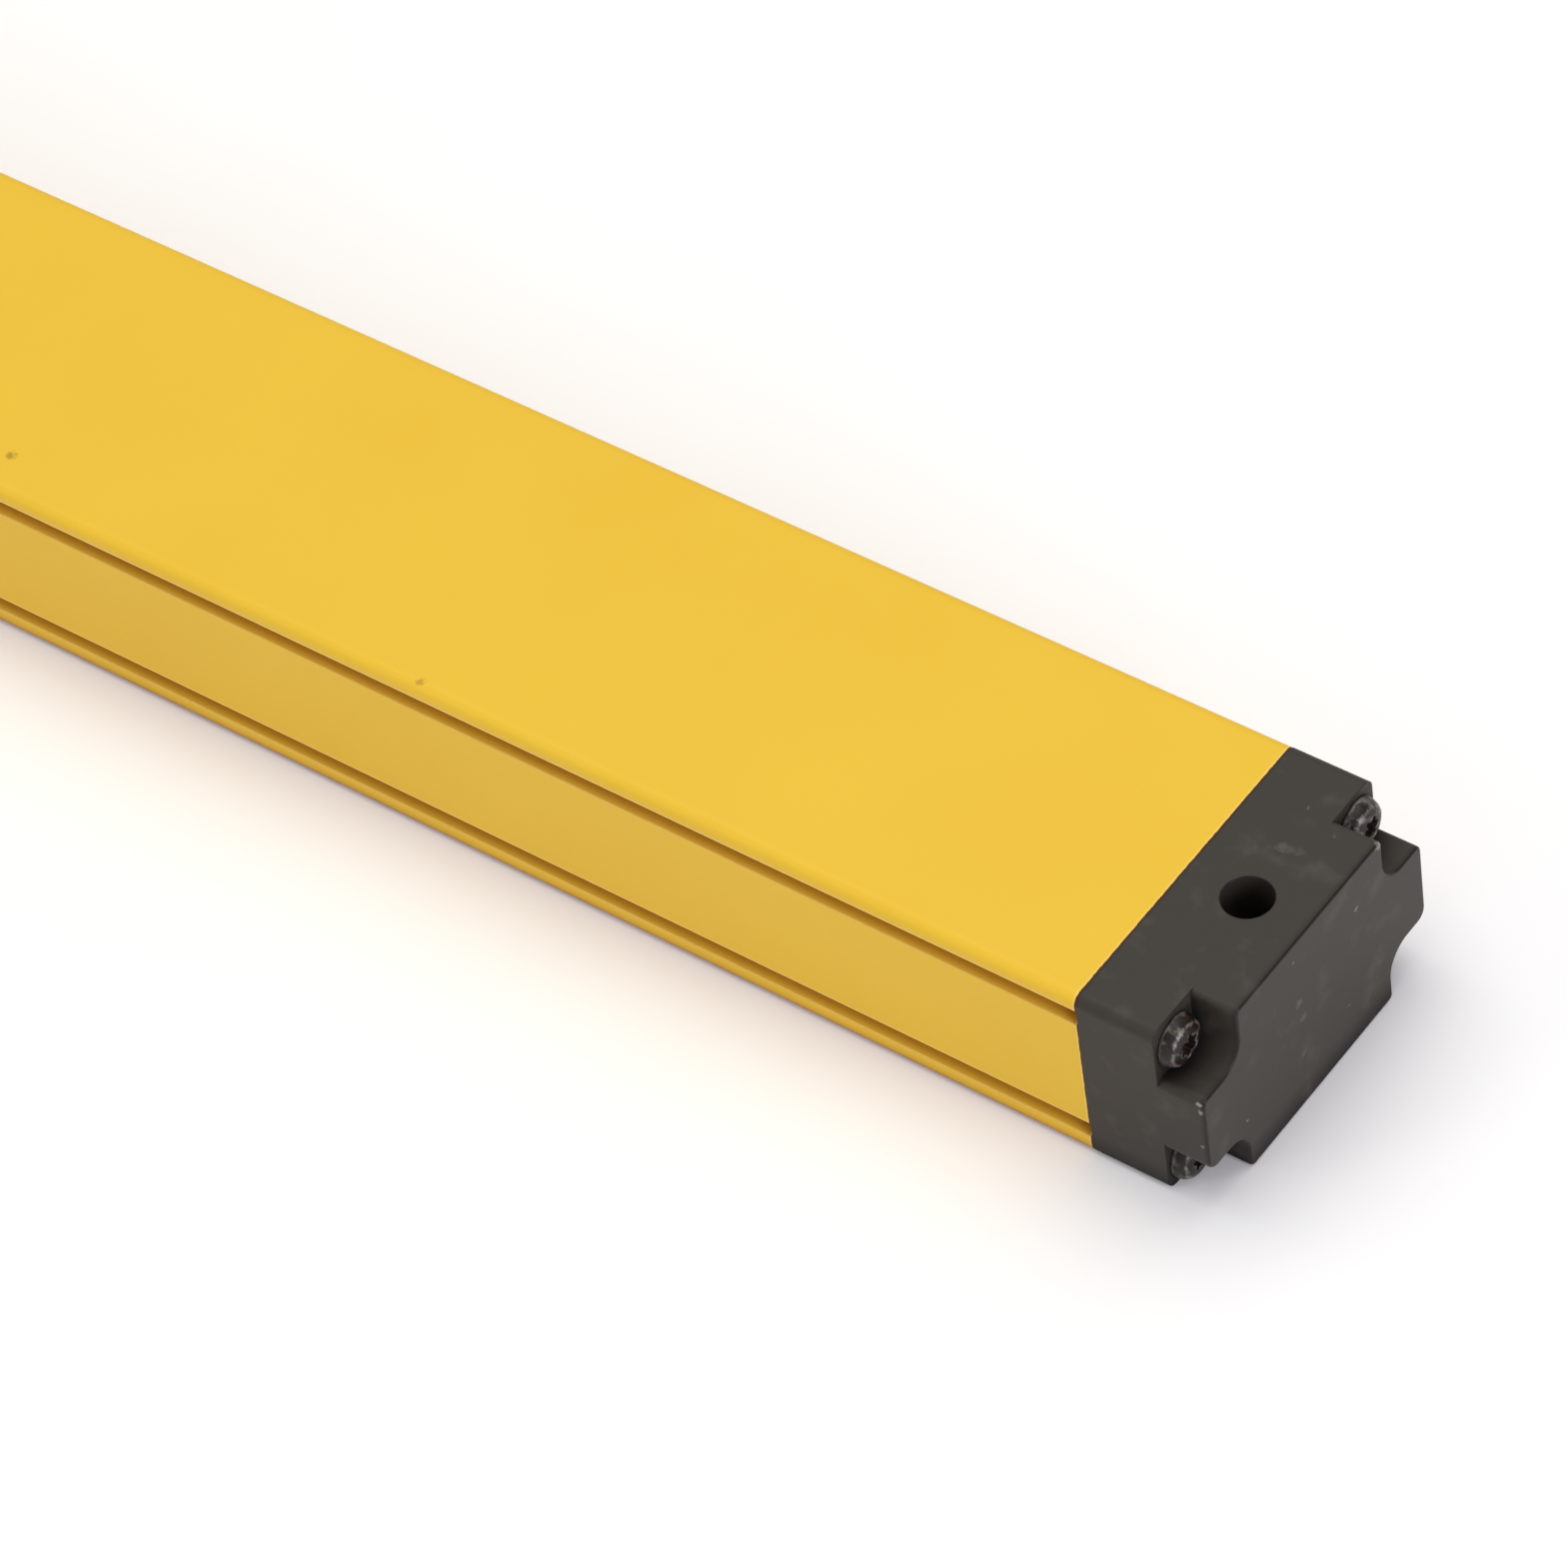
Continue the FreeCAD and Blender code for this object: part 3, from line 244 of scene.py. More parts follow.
def marks(tree, place, spots):
    """Mask of single marks, each a place and a radius in mm and a strength, with uneven outlines."""
    rough = add(tree, "ShaderNodeTexNoise", {"Vector": place, "Scale": per_metre(0.7 * MM), "Detail": 2.0})
    shift = add(
        tree, "ShaderNodeVectorMath",
        {0: rough.outputs["Color"], 1: (0.5, 0.5, 0.5)}, operation="SUBTRACT")
    swing = add(tree, "ShaderNodeVectorMath", {0: shift.outputs[0], "Scale": 1.6 * MM}, operation="SCALE")
    moved = add(tree, "ShaderNodeVectorMath", {0: place, 1: swing.outputs[0]}, operation="ADD")
    mask = 0.0
    for x, y, z, radius, strength in spots:
        away = add(
            tree, "ShaderNodeVectorMath",
            {0: moved.outputs[0], 1: (x * MM, y * MM, z * MM)}, operation="DISTANCE")
        spot = add(
            tree, "ShaderNodeMapRange",
            {
                "Value": away.outputs["Value"],
                "From Min": 0.4 * radius * MM,
                "From Max": radius * MM,
                "To Min": strength,
                "To Max": 0.0,
            })
        mask = add(tree, "ShaderNodeMath", {0: spot.outputs[0], 1: mask}, operation="MAXIMUM").outputs[0]
    return mask


def sharp_edges(tree, radius):
    """Normal rounded at sharp edges within this radius, a mask of those edges, and how far the normal tips up there."""
    rounded = add(tree, "ShaderNodeBevel", {"Radius": radius}, samples=3).outputs["Normal"]
    flat = add(tree, "ShaderNodeNewGeometry").outputs["Normal"]
    facing = add(tree, "ShaderNodeVectorMath", {0: rounded, 1: flat}, operation="DOT_PRODUCT")
    mask = add(
        tree, "ShaderNodeMapRange",
        {"Value": facing.outputs["Value"], "From Min": 0.985, "From Max": 0.8, "To Min": 0.0, "To Max": 1.0})
    tip = add(tree, "ShaderNodeVectorMath", {0: rounded, 1: flat}, operation="SUBTRACT")
    return rounded, mask.outputs[0], add(tree, "ShaderNodeSeparateXYZ", {"Vector": tip.outputs[0]}).outputs["Z"]


def hollows(tree, reach, shut, free):
    """Mask of hollows within this reach: 1 where the share of open sky is below shut, 0 where it is above free."""
    openness = add(tree, "ShaderNodeAmbientOcclusion", {"Distance": reach}, samples=3).outputs["AO"]
    mask = add(
        tree, "ShaderNodeMapRange",
        {"Value": openness, "From Min": shut, "From Max": free, "To Min": 1.0, "To Max": 0.0})
    return mask.outputs[0]


# Single marks, each with its place and radius in mm and its strength: marks that the object carries, but for one
# painted highlight among the cap marks
COAT_SPECKS = (
    (9.9, -18.5, 30.1, 0.9, 0.55),
    (84.4, -23.3, 30.0, 0.7, 0.45),
    (-96.0, 11.5, 30.1, 0.8, 0.5),
)
CAP_MARKS = (
    (196.3, 9.0, 30.1, 1.1, 0.15),
    (197.4, 9.2, 30.1, 0.9, 0.1),
    (198.5, 9.5, 30.1, 0.8, 0.08),
    (195.6, 16.1, 30.1, 0.4, 0.2),
    (200.8, 13.8, 30.1, 0.5, 0.16),
    (193.2, 7.4, 30.1, 0.7, 0.08),
    (206.2, 9.8, 23.3, 0.36, 0.8),
    (206.2, 8.2, 27.2, 0.3, 0.3),
    (206.2, -4.0, 27.0, 0.32, 0.8),
    (206.2, 6.7, 8.1, 0.32, 0.6),
    (206.2, -16.0, 9.4, 0.34, 0.7),
    (205.4, -24.6, 12.5, 0.34, 0.8),
    (205.4, -24.6, 20.7, 0.5, 1.0),
    (205.7, -24.6, 19.4, 0.4, 0.9),
    (206.2, -3.5, 18.9, 0.8, 0.2),
    (206.2, -3.0, 15.6, 0.9, 0.15),
    (206.2, -3.4, 9.2, 0.6, 0.2),
    # Painted highlight on the rounded corner of the far top pocket, at the end face
    (206.0, 15.7, 29.6, 0.8, 0.7),
)
CAP_CHIPS = (
    (206.2, -21.4, 22.4, 0.8, 0.8),
    (206.2, -22.8, 21.6, 0.8, 0.8),
    (206.1, -24.4, 21.9, 0.6, 0.7),
    (206.1, -24.4, 17.4, 0.5, 0.6),
    (206.1, -24.4, 14.6, 0.5, 0.5),
)


def powder_coat(settings):
    """Powder coat baked on extruded aluminium: even yellow with a satin sheen, a faint orange peel, a few specks."""
    material, tree, place = start("powder_coat_on_extruded_aluminium")
    mottle = add(tree, "ShaderNodeTexNoise", {"Vector": place, "Scale": per_metre(settings.mottle), "Detail": 3.0})
    tone = add(
        tree, "ShaderNodeMix",
        {"Factor": mottle.outputs["Fac"], "A": settings.coat, "B": settings.coat_shade}, data_type="RGBA")
    cells = add(
        tree, "ShaderNodeTexVoronoi", {"Vector": place, "Scale": per_metre(settings.speck_spacing)})
    speck = add(
        tree, "ShaderNodeMapRange",
        {
            "Value": cells.outputs["Distance"],
            "From Min": 0.4 * settings.speck_size / settings.speck_spacing,
            "From Max": settings.speck_size / settings.speck_spacing,
            "To Min": 0.7,
            "To Max": 0.0,
        })
    seen = add(
        tree, "ShaderNodeMath", {0: speck.outputs[0], 1: marks(tree, place, COAT_SPECKS)}, operation="MAXIMUM")
    specked = add(
        tree, "ShaderNodeMix",
        {"Factor": seen.outputs[0], "A": tone.outputs["Result"], "B": settings.speck}, data_type="RGBA")
    # Painted shade: the coat turns darker brown deep in the grooves, where little of the sky is open
    deep = hollows(tree, settings.hollow, 0.45, 0.92)
    groove_shaded = add(
        tree, "ShaderNodeMix", {"Factor": deep, "A": specked.outputs["Result"], "B": settings.grime}, data_type="RGBA")
    # Painted highlight: a paler line on the sharp lip above each groove, where a rounded edge would catch the light,
    # and less of it where the painted groove shade lies
    sharp, tip = sharp_edges(tree, settings.lip)[1:]
    lip = add(
        tree, "ShaderNodeMapRange",
        {"Value": tip, "From Min": -0.04, "From Max": -0.2, "To Min": 0.0, "To Max": 1.0})
    shut = add(tree, "ShaderNodeMath", {0: deep, 1: 0.5}, operation="MULTIPLY")
    lit_lip = add(tree, "ShaderNodeMath", {0: lip.outputs[0], 1: shut.outputs[0]}, operation="SUBTRACT", use_clamp=True)
    thin = add(tree, "ShaderNodeMath", {0: lit_lip.outputs[0], 1: sharp}, operation="MULTIPLY")
    lip_highlighted = add(
        tree, "ShaderNodeMix",
        {"Factor": thin.outputs[0], "A": groove_shaded.outputs["Result"], "B": settings.painted_highlight}, data_type="RGBA")
    # Painted shadow: a fine dark line of wavering width in the gap at each cap, with a faint painted highlight beside
    # it
    wave = add(tree, "ShaderNodeTexNoise", {"Vector": place, "Scale": per_metre(settings.cut_wave), "Detail": 1.0})
    reach = add(
        tree, "ShaderNodeMapRange",
        {
            "Value": wave.outputs["Fac"],
            "From Min": 0.38,
            "From Max": 0.64,
            "To Min": 0.8 * settings.cut_width,
            "To Max": settings.cut_width,
        })
    along = add(tree, "ShaderNodeSeparateXYZ", {"Vector": place})
    low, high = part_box("housing_profile")
    centre = (low.x + high.x) / 2.0
    half = (high.x - low.x) / 2.0
    from_centre = add(tree, "ShaderNodeMath", {0: along.outputs["X"], 1: centre}, operation="SUBTRACT")
    away = add(tree, "ShaderNodeMath", {0: from_centre.outputs[0]}, operation="ABSOLUTE")
    edge = add(tree, "ShaderNodeMath", {0: half, 1: reach.outputs[0]}, operation="SUBTRACT")
    gap_shadowed = add(tree, "ShaderNodeMath", {0: away.outputs[0], 1: edge.outputs[0]}, operation="GREATER_THAN")
    rim = add(
        tree, "ShaderNodeMath", {0: away.outputs[0], 1: half - 1.8 * settings.cut_width}, operation="GREATER_THAN")
    rim_highlight = add(tree, "ShaderNodeMath", {0: rim.outputs[0], 1: 0.2}, operation="MULTIPLY")
    rimmed = add(
        tree, "ShaderNodeMix",
        {"Factor": rim_highlight.outputs[0], "A": lip_highlighted.outputs["Result"], "B": settings.painted_highlight}, data_type="RGBA")
    edged = add(
        tree, "ShaderNodeMix",
        {"Factor": gap_shadowed.outputs[0], "A": rimmed.outputs["Result"], "B": settings.cut}, data_type="RGBA")
    shine = add(
        tree, "ShaderNodeMapRange", {"Value": deep, "To Min": settings.roughness, "To Max": 0.9})
    peel = add(tree, "ShaderNodeTexNoise", {"Vector": place, "Scale": per_metre(settings.peel), "Detail": 2.0})
    bump = add(tree, "ShaderNodeBump", {"Height": peel.outputs["Fac"], "Strength": 0.25, "Distance": 0.03 * MM})
    end(tree, add(
        tree, "ShaderNodeBsdfPrincipled",
        {
            "Base Color": edged.outputs["Result"],
            "Roughness": shine.outputs[0],
            "IOR": 1.5,
            "Specular IOR Level": 0.16,
            "Normal": bump.outputs["Normal"],
        }))
    return material


def moulded_nylon(settings):
    """Glass-filled nylon, injection moulded: dull warm black, smoother edges and the pockets darkened with painted
    shade, a few pale nicks and one painted highlight.
    """
    material, tree, place = start("glass_filled_nylon_moulded")
    grain = add(tree, "ShaderNodeTexNoise", {"Vector": place, "Scale": per_metre(settings.grain), "Detail": 3.0})
    patches = add(tree, "ShaderNodeTexNoise", {"Vector": place, "Scale": per_metre(settings.scuff), "Detail": 6.0})
    rounded, sharp = sharp_edges(tree, settings.edge)[:2]
    scuffs = add(
        tree, "ShaderNodeMapRange",
        {"Value": patches.outputs["Fac"], "From Min": 0.56, "From Max": 0.76, "To Min": 0.0, "To Max": 0.1})
    cells = add(tree, "ShaderNodeTexVoronoi", {"Vector": place, "Scale": per_metre(settings.speck_spacing)})
    specks = add(
        tree, "ShaderNodeMapRange",
        {
            "Value": cells.outputs["Distance"],
            "From Min": 0.4 * settings.speck_size / settings.speck_spacing,
            "From Max": settings.speck_size / settings.speck_spacing,
            "To Min": 0.3,
            "To Max": 0.0,
        })
    # The marks are nicks and scuffs, and one painted highlight
    nicks = marks(tree, place, CAP_MARKS)
    soft = add(tree, "ShaderNodeMath", {0: scuffs.outputs[0], 1: specks.outputs[0]}, operation="MAXIMUM")
    worn = add(tree, "ShaderNodeMath", {0: soft.outputs[0], 1: nicks}, operation="MAXIMUM")
    # The rounded edge of the end face is smoother, and painted shade darkens it, as it does the sharp edges
    turned = add(
        tree, "ShaderNodeSeparateXYZ", {"Vector": add(tree, "ShaderNodeTexCoord").outputs["Normal"]})
    lean = add(tree, "ShaderNodeMath", {0: turned.outputs["X"]}, operation="ABSOLUTE")
    out = add(
        tree, "ShaderNodeMapRange",
        {"Value": lean.outputs[0], "From Min": 0.08, "From Max": 0.3, "To Min": 0.0, "To Max": 1.0})
    back = add(
        tree, "ShaderNodeMapRange",
        {"Value": lean.outputs[0], "From Min": 0.9, "From Max": 0.995, "To Min": 1.0, "To Max": 0.0})
    along = add(tree, "ShaderNodeSeparateXYZ", {"Vector": place})
    away = add(tree, "ShaderNodeMath", {0: along.outputs["X"]}, operation="ABSOLUTE")
    end_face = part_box("end_cap_blank")[1].x
    at_end = add(
        tree, "ShaderNodeMath", {0: away.outputs[0], 1: end_face - settings.end_edge}, operation="GREATER_THAN")
    leaning = add(tree, "ShaderNodeMath", {0: out.outputs[0], 1: back.outputs[0]}, operation="MULTIPLY")
    smooth = add(tree, "ShaderNodeMath", {0: leaning.outputs[0], 1: at_end.outputs[0]}, operation="MULTIPLY")
    either = add(tree, "ShaderNodeMath", {0: smooth.outputs[0], 1: sharp}, operation="MAXIMUM")
    # Painted shade also darkens a border along that edge on the faces beside it
    near_end = add(
        tree, "ShaderNodeMapRange",
        {
            "Value": away.outputs[0],
            "From Min": end_face - settings.border,
            "From Max": end_face - 0.45 * settings.border,
        })
    border = add(tree, "ShaderNodeMath", {0: near_end.outputs[0], 1: back.outputs[0]}, operation="MULTIPLY")
    border_shade = add(tree, "ShaderNodeMath", {0: border.outputs[0], 1: 0.6}, operation="MULTIPLY")
    edges = add(tree, "ShaderNodeMath", {0: either.outputs[0], 1: border_shade.outputs[0]}, operation="MAXIMUM")
    edge_shade = add(tree, "ShaderNodeMath", {0: edges.outputs[0], 1: 0.75}, operation="MULTIPLY")
    # Painted shade: the plastic turns near black in the pockets, where little of the sky is open; the chips take the
    # same dark tone
    deep = hollows(tree, settings.hollow, 0.35, 0.92)
    shade_and_chips = add(tree, "ShaderNodeMath", {0: deep, 1: marks(tree, place, CAP_CHIPS)}, operation="MAXIMUM")
    dark = add(tree, "ShaderNodeMath", {0: edge_shade.outputs[0], 1: shade_and_chips.outputs[0]}, operation="MAXIMUM")
    shaded = add(
        tree, "ShaderNodeMix",
        {"Factor": dark.outputs[0], "A": settings.plastic, "B": settings.grime}, data_type="RGBA")
    tone = add(
        tree, "ShaderNodeMix",
        {"Factor": worn.outputs[0], "A": shaded.outputs["Result"], "B": settings.worn}, data_type="RGBA")
    shine = add(
        tree, "ShaderNodeMapRange",
        {"Value": either.outputs[0], "To Min": settings.roughness, "To Max": settings.roughness * 0.7})
    dull = add(
        tree, "ShaderNodeMix", {"Factor": deep, "A": shine.outputs[0], "B": 0.95}, data_type="FLOAT")
    bump = add(
        tree, "ShaderNodeBump",
        {"Height": grain.outputs["Fac"], "Strength": 0.35, "Distance": 0.03 * MM, "Normal": rounded})
    end(tree, add(
        tree, "ShaderNodeBsdfPrincipled",
        {
            "Base Color": tone.outputs["Result"],
            "Roughness": dull.outputs["Result"],
            "IOR": 1.53,
            "Specular IOR Level": 0.2,
            "Normal": bump.outputs["Normal"],
        }))
    return material


def black_oxide_steel(settings):
    """Black oxide on rolled steel screws: near black and half glossy, bare grey steel on the worn rims, rust inside."""
    material, tree, place = start("black_oxide_steel")
    # Wear is real wear on the rims, but its raised floor on the far top screw is painted light
    wear = add(tree, "ShaderNodeAttribute", attribute_name="wear").outputs["Fac"]
    chips = add(
        tree, "ShaderNodeTexNoise",
        {"Vector": place, "Scale": per_metre(settings.chip), "Detail": 6.0, "Roughness": 0.68})
    broken = add(
        tree, "ShaderNodeMapRange",
        {"Value": chips.outputs["Fac"], "From Min": 0.4, "From Max": 0.64, "To Min": -0.5, "To Max": 0.62})
    patchy = add(tree, "ShaderNodeMath", {0: wear, 1: broken.outputs[0]}, operation="ADD")
    worn = add(
        tree, "ShaderNodeMapRange",
        {"Value": patchy.outputs[0], "From Min": 0.3, "From Max": 1.2, "To Min": 0.0, "To Max": 0.42})
    sheltered = add(
        tree, "ShaderNodeMapRange",
        {"Value": wear, "From Min": 0.0, "From Max": -1.0, "To Min": 0.15, "To Max": 0.9})
    blotches = add(tree, "ShaderNodeTexNoise", {"Vector": place, "Scale": per_metre(settings.blotch), "Detail": 2.0})
    rusty = add(
        tree, "ShaderNodeMapRange",
        {"Value": blotches.outputs["Fac"], "From Min": 0.45, "From Max": 0.65, "To Min": 0.0, "To Max": 0.7})
    brown = add(tree, "ShaderNodeMath", {0: sheltered.outputs[0], 1: rusty.outputs[0]}, operation="MAXIMUM")
    dark = add(
        tree, "ShaderNodeMix",
        {"Factor": brown.outputs[0], "A": settings.oxide, "B": settings.rust}, data_type="RGBA")
    tone = add(
        tree, "ShaderNodeMix",
        {"Factor": worn.outputs[0], "A": dark.outputs["Result"], "B": settings.steel}, data_type="RGBA")
    bump = add(
        tree, "ShaderNodeBump", {"Height": chips.outputs["Fac"], "Strength": 0.8, "Distance": 0.12 * MM})
    end(tree, add(
        tree, "ShaderNodeBsdfPrincipled",
        {
            "Base Color": tone.outputs["Result"],
            "Metallic": worn.outputs[0],
            "Roughness": 0.4,
            "Specular IOR Level": 0.32,
            "Normal": bump.outputs["Normal"],
        }))
    return material


def clear_acrylic():
    """Extruded acrylic: clear with polished faces, and the faintest draw lines along its length."""
    material, tree, place = start("clear_acrylic_extruded")
    stretched = add(tree, "ShaderNodeMapping", {"Vector": place, "Scale": (20.0, per_metre(1.5 * MM), 1.0)})
    lines = add(tree, "ShaderNodeTexNoise", {"Vector": stretched.outputs[0], "Scale": 1.0, "Detail": 2.0})
    bump = add(tree, "ShaderNodeBump", {"Height": lines.outputs["Fac"], "Strength": 0.08, "Distance": 0.01 * MM})
    tint = add(
        tree, "ShaderNodeMix",
        {"Factor": lines.outputs["Fac"], "A": linear("#F2F5F4"), "B": linear("#E9EEEC")}, data_type="RGBA")
    end(tree, add(
        tree, "ShaderNodeBsdfPrincipled",
        {
            "Base Color": tint.outputs["Result"],
            "Roughness": 0.04,
            "IOR": 1.49,
            "Transmission Weight": 1.0,
            "Normal": bump.outputs["Normal"],
        }))
    return material


def moulded_acrylic():
    """Moulded acrylic of the lenses and the light guide: water clear, with slight flow marks."""
    material, tree, place = start("clear_acrylic_moulded")
    flow = add(tree, "ShaderNodeTexNoise", {"Vector": place, "Scale": per_metre(6.0 * MM), "Detail": 1.0})
    bump = add(tree, "ShaderNodeBump", {"Height": flow.outputs["Fac"], "Strength": 0.05, "Distance": 0.02 * MM})
    tint = add(
        tree, "ShaderNodeMix",
        {"Factor": flow.outputs["Fac"], "A": linear("#F6F8FA"), "B": linear("#EEF2F5")}, data_type="RGBA")
    end(tree, add(
        tree, "ShaderNodeBsdfPrincipled",
        {
            "Base Color": tint.outputs["Result"],
            "Roughness": 0.03,
            "IOR": 1.49,
            "Transmission Weight": 0.95,
            "Normal": bump.outputs["Normal"],
        }))
    return material


def mottled(name, dark, light, size, roughness, ior=1.5, metallic=0.0, bump_height=0.02, transmission=0.0):
    """A finish with two close tones and a fine bump of the same size, for the plain materials inside."""
    material, tree, place = start(name)
    tone_noise = add(tree, "ShaderNodeTexNoise", {"Vector": place, "Scale": per_metre(size), "Detail": 4.0})
    tone = add(
        tree, "ShaderNodeMix",
        {"Factor": tone_noise.outputs["Fac"], "A": linear(dark), "B": linear(light)}, data_type="RGBA")
    shine = add(
        tree, "ShaderNodeMapRange",
        {"Value": tone_noise.outputs["Fac"], "To Min": roughness * 0.85, "To Max": roughness * 1.15})
    bump = add(
        tree, "ShaderNodeBump",
        {"Height": tone_noise.outputs["Fac"], "Strength": 0.3, "Distance": bump_height * MM})
    sockets = {
        "Base Color": tone.outputs["Result"],
        "Roughness": shine.outputs[0],
        "Metallic": metallic,
        "Transmission Weight": transmission,
        "Normal": bump.outputs["Normal"],
    }
    if not metallic:
        sockets["IOR"] = ior
    end(tree, add(tree, "ShaderNodeBsdfPrincipled", sockets))
    return material


def solder_mask():
    """Glass epoxy board under green solder mask: glossy green, with the copper tracks showing through lighter."""
    material, tree, place = start("glass_epoxy_board_solder_mask")
    blocks = add(
        tree, "ShaderNodeTexVoronoi", {"Vector": place, "Scale": per_metre(3.0 * MM)}, distance="MANHATTAN",
        feature="DISTANCE_TO_EDGE")
    tracks = add(
        tree, "ShaderNodeMapRange",
        {"Value": blocks.outputs["Distance"], "From Min": 0.1, "From Max": 0.14, "To Min": 1.0, "To Max": 0.0})
    weave = add(tree, "ShaderNodeTexNoise", {"Vector": place, "Scale": per_metre(0.5 * MM), "Detail": 1.0})
    tone = add(
        tree, "ShaderNodeMix",
        {"Factor": tracks.outputs[0], "A": linear("#0F5A2E"), "B": linear("#1E7A42")}, data_type="RGBA")
    bump = add(tree, "ShaderNodeBump", {"Height": tracks.outputs[0], "Strength": 0.4, "Distance": 0.03 * MM})
    fine = add(
        tree, "ShaderNodeBump",
        {"Height": weave.outputs["Fac"], "Strength": 0.1, "Distance": 0.01 * MM, "Normal": bump.outputs["Normal"]})
    end(tree, add(
        tree, "ShaderNodeBsdfPrincipled",
        {"Base Color": tone.outputs["Result"], "Roughness": 0.28, "IOR": 1.55, "Normal": fine.outputs["Normal"]}))
    return material


def turned_metal(name, tint, light_tint, roughness, pitch):
    """Metal turned on a lathe: fine rings round the axis, which catch the light in bands."""
    material, tree, place = start(name)
    lines = add(
        tree, "ShaderNodeTexWave", {"Vector": place, "Scale": per_metre(pitch) / 20.0, "Distortion": 0.6},
        wave_type="BANDS", bands_direction="X")
    patches = add(tree, "ShaderNodeTexNoise", {"Vector": place, "Scale": per_metre(2.0 * MM), "Detail": 3.0})
    tone = add(
        tree, "ShaderNodeMix",
        {"Factor": patches.outputs["Fac"], "A": linear(tint), "B": linear(light_tint)}, data_type="RGBA")
    shine = add(
        tree, "ShaderNodeMapRange",
        {"Value": patches.outputs["Fac"], "To Min": roughness * 0.8, "To Max": roughness * 1.3})
    bump = add(tree, "ShaderNodeBump", {"Height": lines.outputs["Fac"], "Strength": 0.12, "Distance": 0.01 * MM})
    end(tree, add(
        tree, "ShaderNodeBsdfPrincipled",
        {
            "Base Color": tone.outputs["Result"],
            "Metallic": 1.0,
            "Roughness": shine.outputs[0],
            "Normal": bump.outputs["Normal"],
        }))
    return material


def floor_paint(settings):
    """Matt white painted board under the object, with a barely visible roller texture."""
    material, tree, place = start("matt_white_painted_board")
    roller = add(tree, "ShaderNodeTexNoise", {"Vector": place, "Scale": per_metre(60.0 * MM), "Detail": 2.0})
    tone = add(
        tree, "ShaderNodeMix",
        {"Factor": roller.outputs["Fac"], "A": settings.floor, "B": linear("#F6F5F4")}, data_type="RGBA")
    end(tree, add(
        tree, "ShaderNodeBsdfPrincipled", {"Base Color": tone.outputs["Result"], "Roughness": 0.9, "IOR": 1.4}))
    return material


# Shapes


def dress(material, *nodes):
    """Give nodes of the frame this material."""
    for name in nodes:
        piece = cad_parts[name]
        if not piece.material_slots:
            piece.data.materials.append(material)
        for slot in piece.material_slots:
            slot.material = material


def numbered(stem):
    """Names of the frame's nodes that share a stem and end in a number, in order."""
    names = sorted(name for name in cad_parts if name.rsplit("_", 1)[0] == stem)
    if not names:
        raise RuntimeError(f"the frame has no {stem} nodes")
    return names


def skin(body, rings):
    """Add faces over a run of (points, wear) rings to a bmesh, closing both ends. Wear is kept as a vertex value."""
    worn = body.verts.layers.float.get("wear") or body.verts.layers.float.new("wear")
    loops = [[body.verts.new(point) for point in ring] for ring, wear in rings]
    for loop, (ring, wear) in zip(loops, rings):
        for corner in loop:
            corner[worn] = wear
    for low, high in zip(loops, loops[1:]):
        for index in range(len(low)):
            following = (index + 1) % len(low)
            body.faces.new((low[index], low[following], high[following], high[index]))
    body.faces.new(list(reversed(loops[0])))
    body.faces.new(loops[-1])


def finished_mesh(name, body, material, replaced):
    """Turn a bmesh into a piece that stands for nodes of the frame and rides with them."""
    bmesh.ops.recalc_face_normals(body, faces=body.faces)
    mesh = bpy.data.meshes.new(name)
    body.to_mesh(mesh)
    body.free()
    mesh.shade_smooth()
    mesh.set_sharp_from_angle(angle=math.radians(38.0))
    piece = bpy.data.objects.new(name, mesh)
    bpy.context.scene.collection.objects.link(piece)
    mesh.materials.append(material)
    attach(piece, BODY)
    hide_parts(*replaced)
    return piece


def thread_profile(share):
    """Height of a rounded thread, from 0 in its root to 1 on its crest, at this share of a turn's pitch."""
    return 0.5 - 0.5 * math.cos(2.0 * math.pi * share)


SCREW_SIDES = 72
# Rings to one turn of a screw's thread, and the radius of its root as a share of the crest's
SCREW_RINGS = 4
SCREW_ROOT = 0.74
# The recess between its lobes, as a share of the radius at their tips; lobes grow fuller as the power falls below 1
RECESS_WAIST = 0.70
LOBE_FULLNESS = 0.8
DENT_SPACING = 0.8 * MM
# Turn of each screw's recess, as a share of a lobe
SCREW_TURNS = (0.22, 0.71, 0.43, 0.05)
# Least wear on each screw's head, in the same order; the far top screw's 0.4 is painted light, more bare steel that
# makes its head look lit more
SCREW_WEAR_AND_LIGHT = (0.0, 0.0, 0.1, 0.4)
# Outline of a pan head from its seat to its flat top: share of its height, share of its radius, wear
HEAD_OUTLINE = (
    (0.0, 0.93, 0.0),
    (0.02, 0.975, 0.7),
    (0.08, 1.0, 1.0),
    (0.16, 1.0, 0.8),
    (0.30, 0.99, 0.15),
    (0.48, 0.955, 0.05),
    (0.66, 0.90, 0.15),
    (0.78, 0.845, 0.75),
    (0.83, 0.81, 0.95),
    (0.90, 0.72, 0.2),
    (0.97, 0.62, 0.05),
    (1.0, 0.54, 0.1),
)


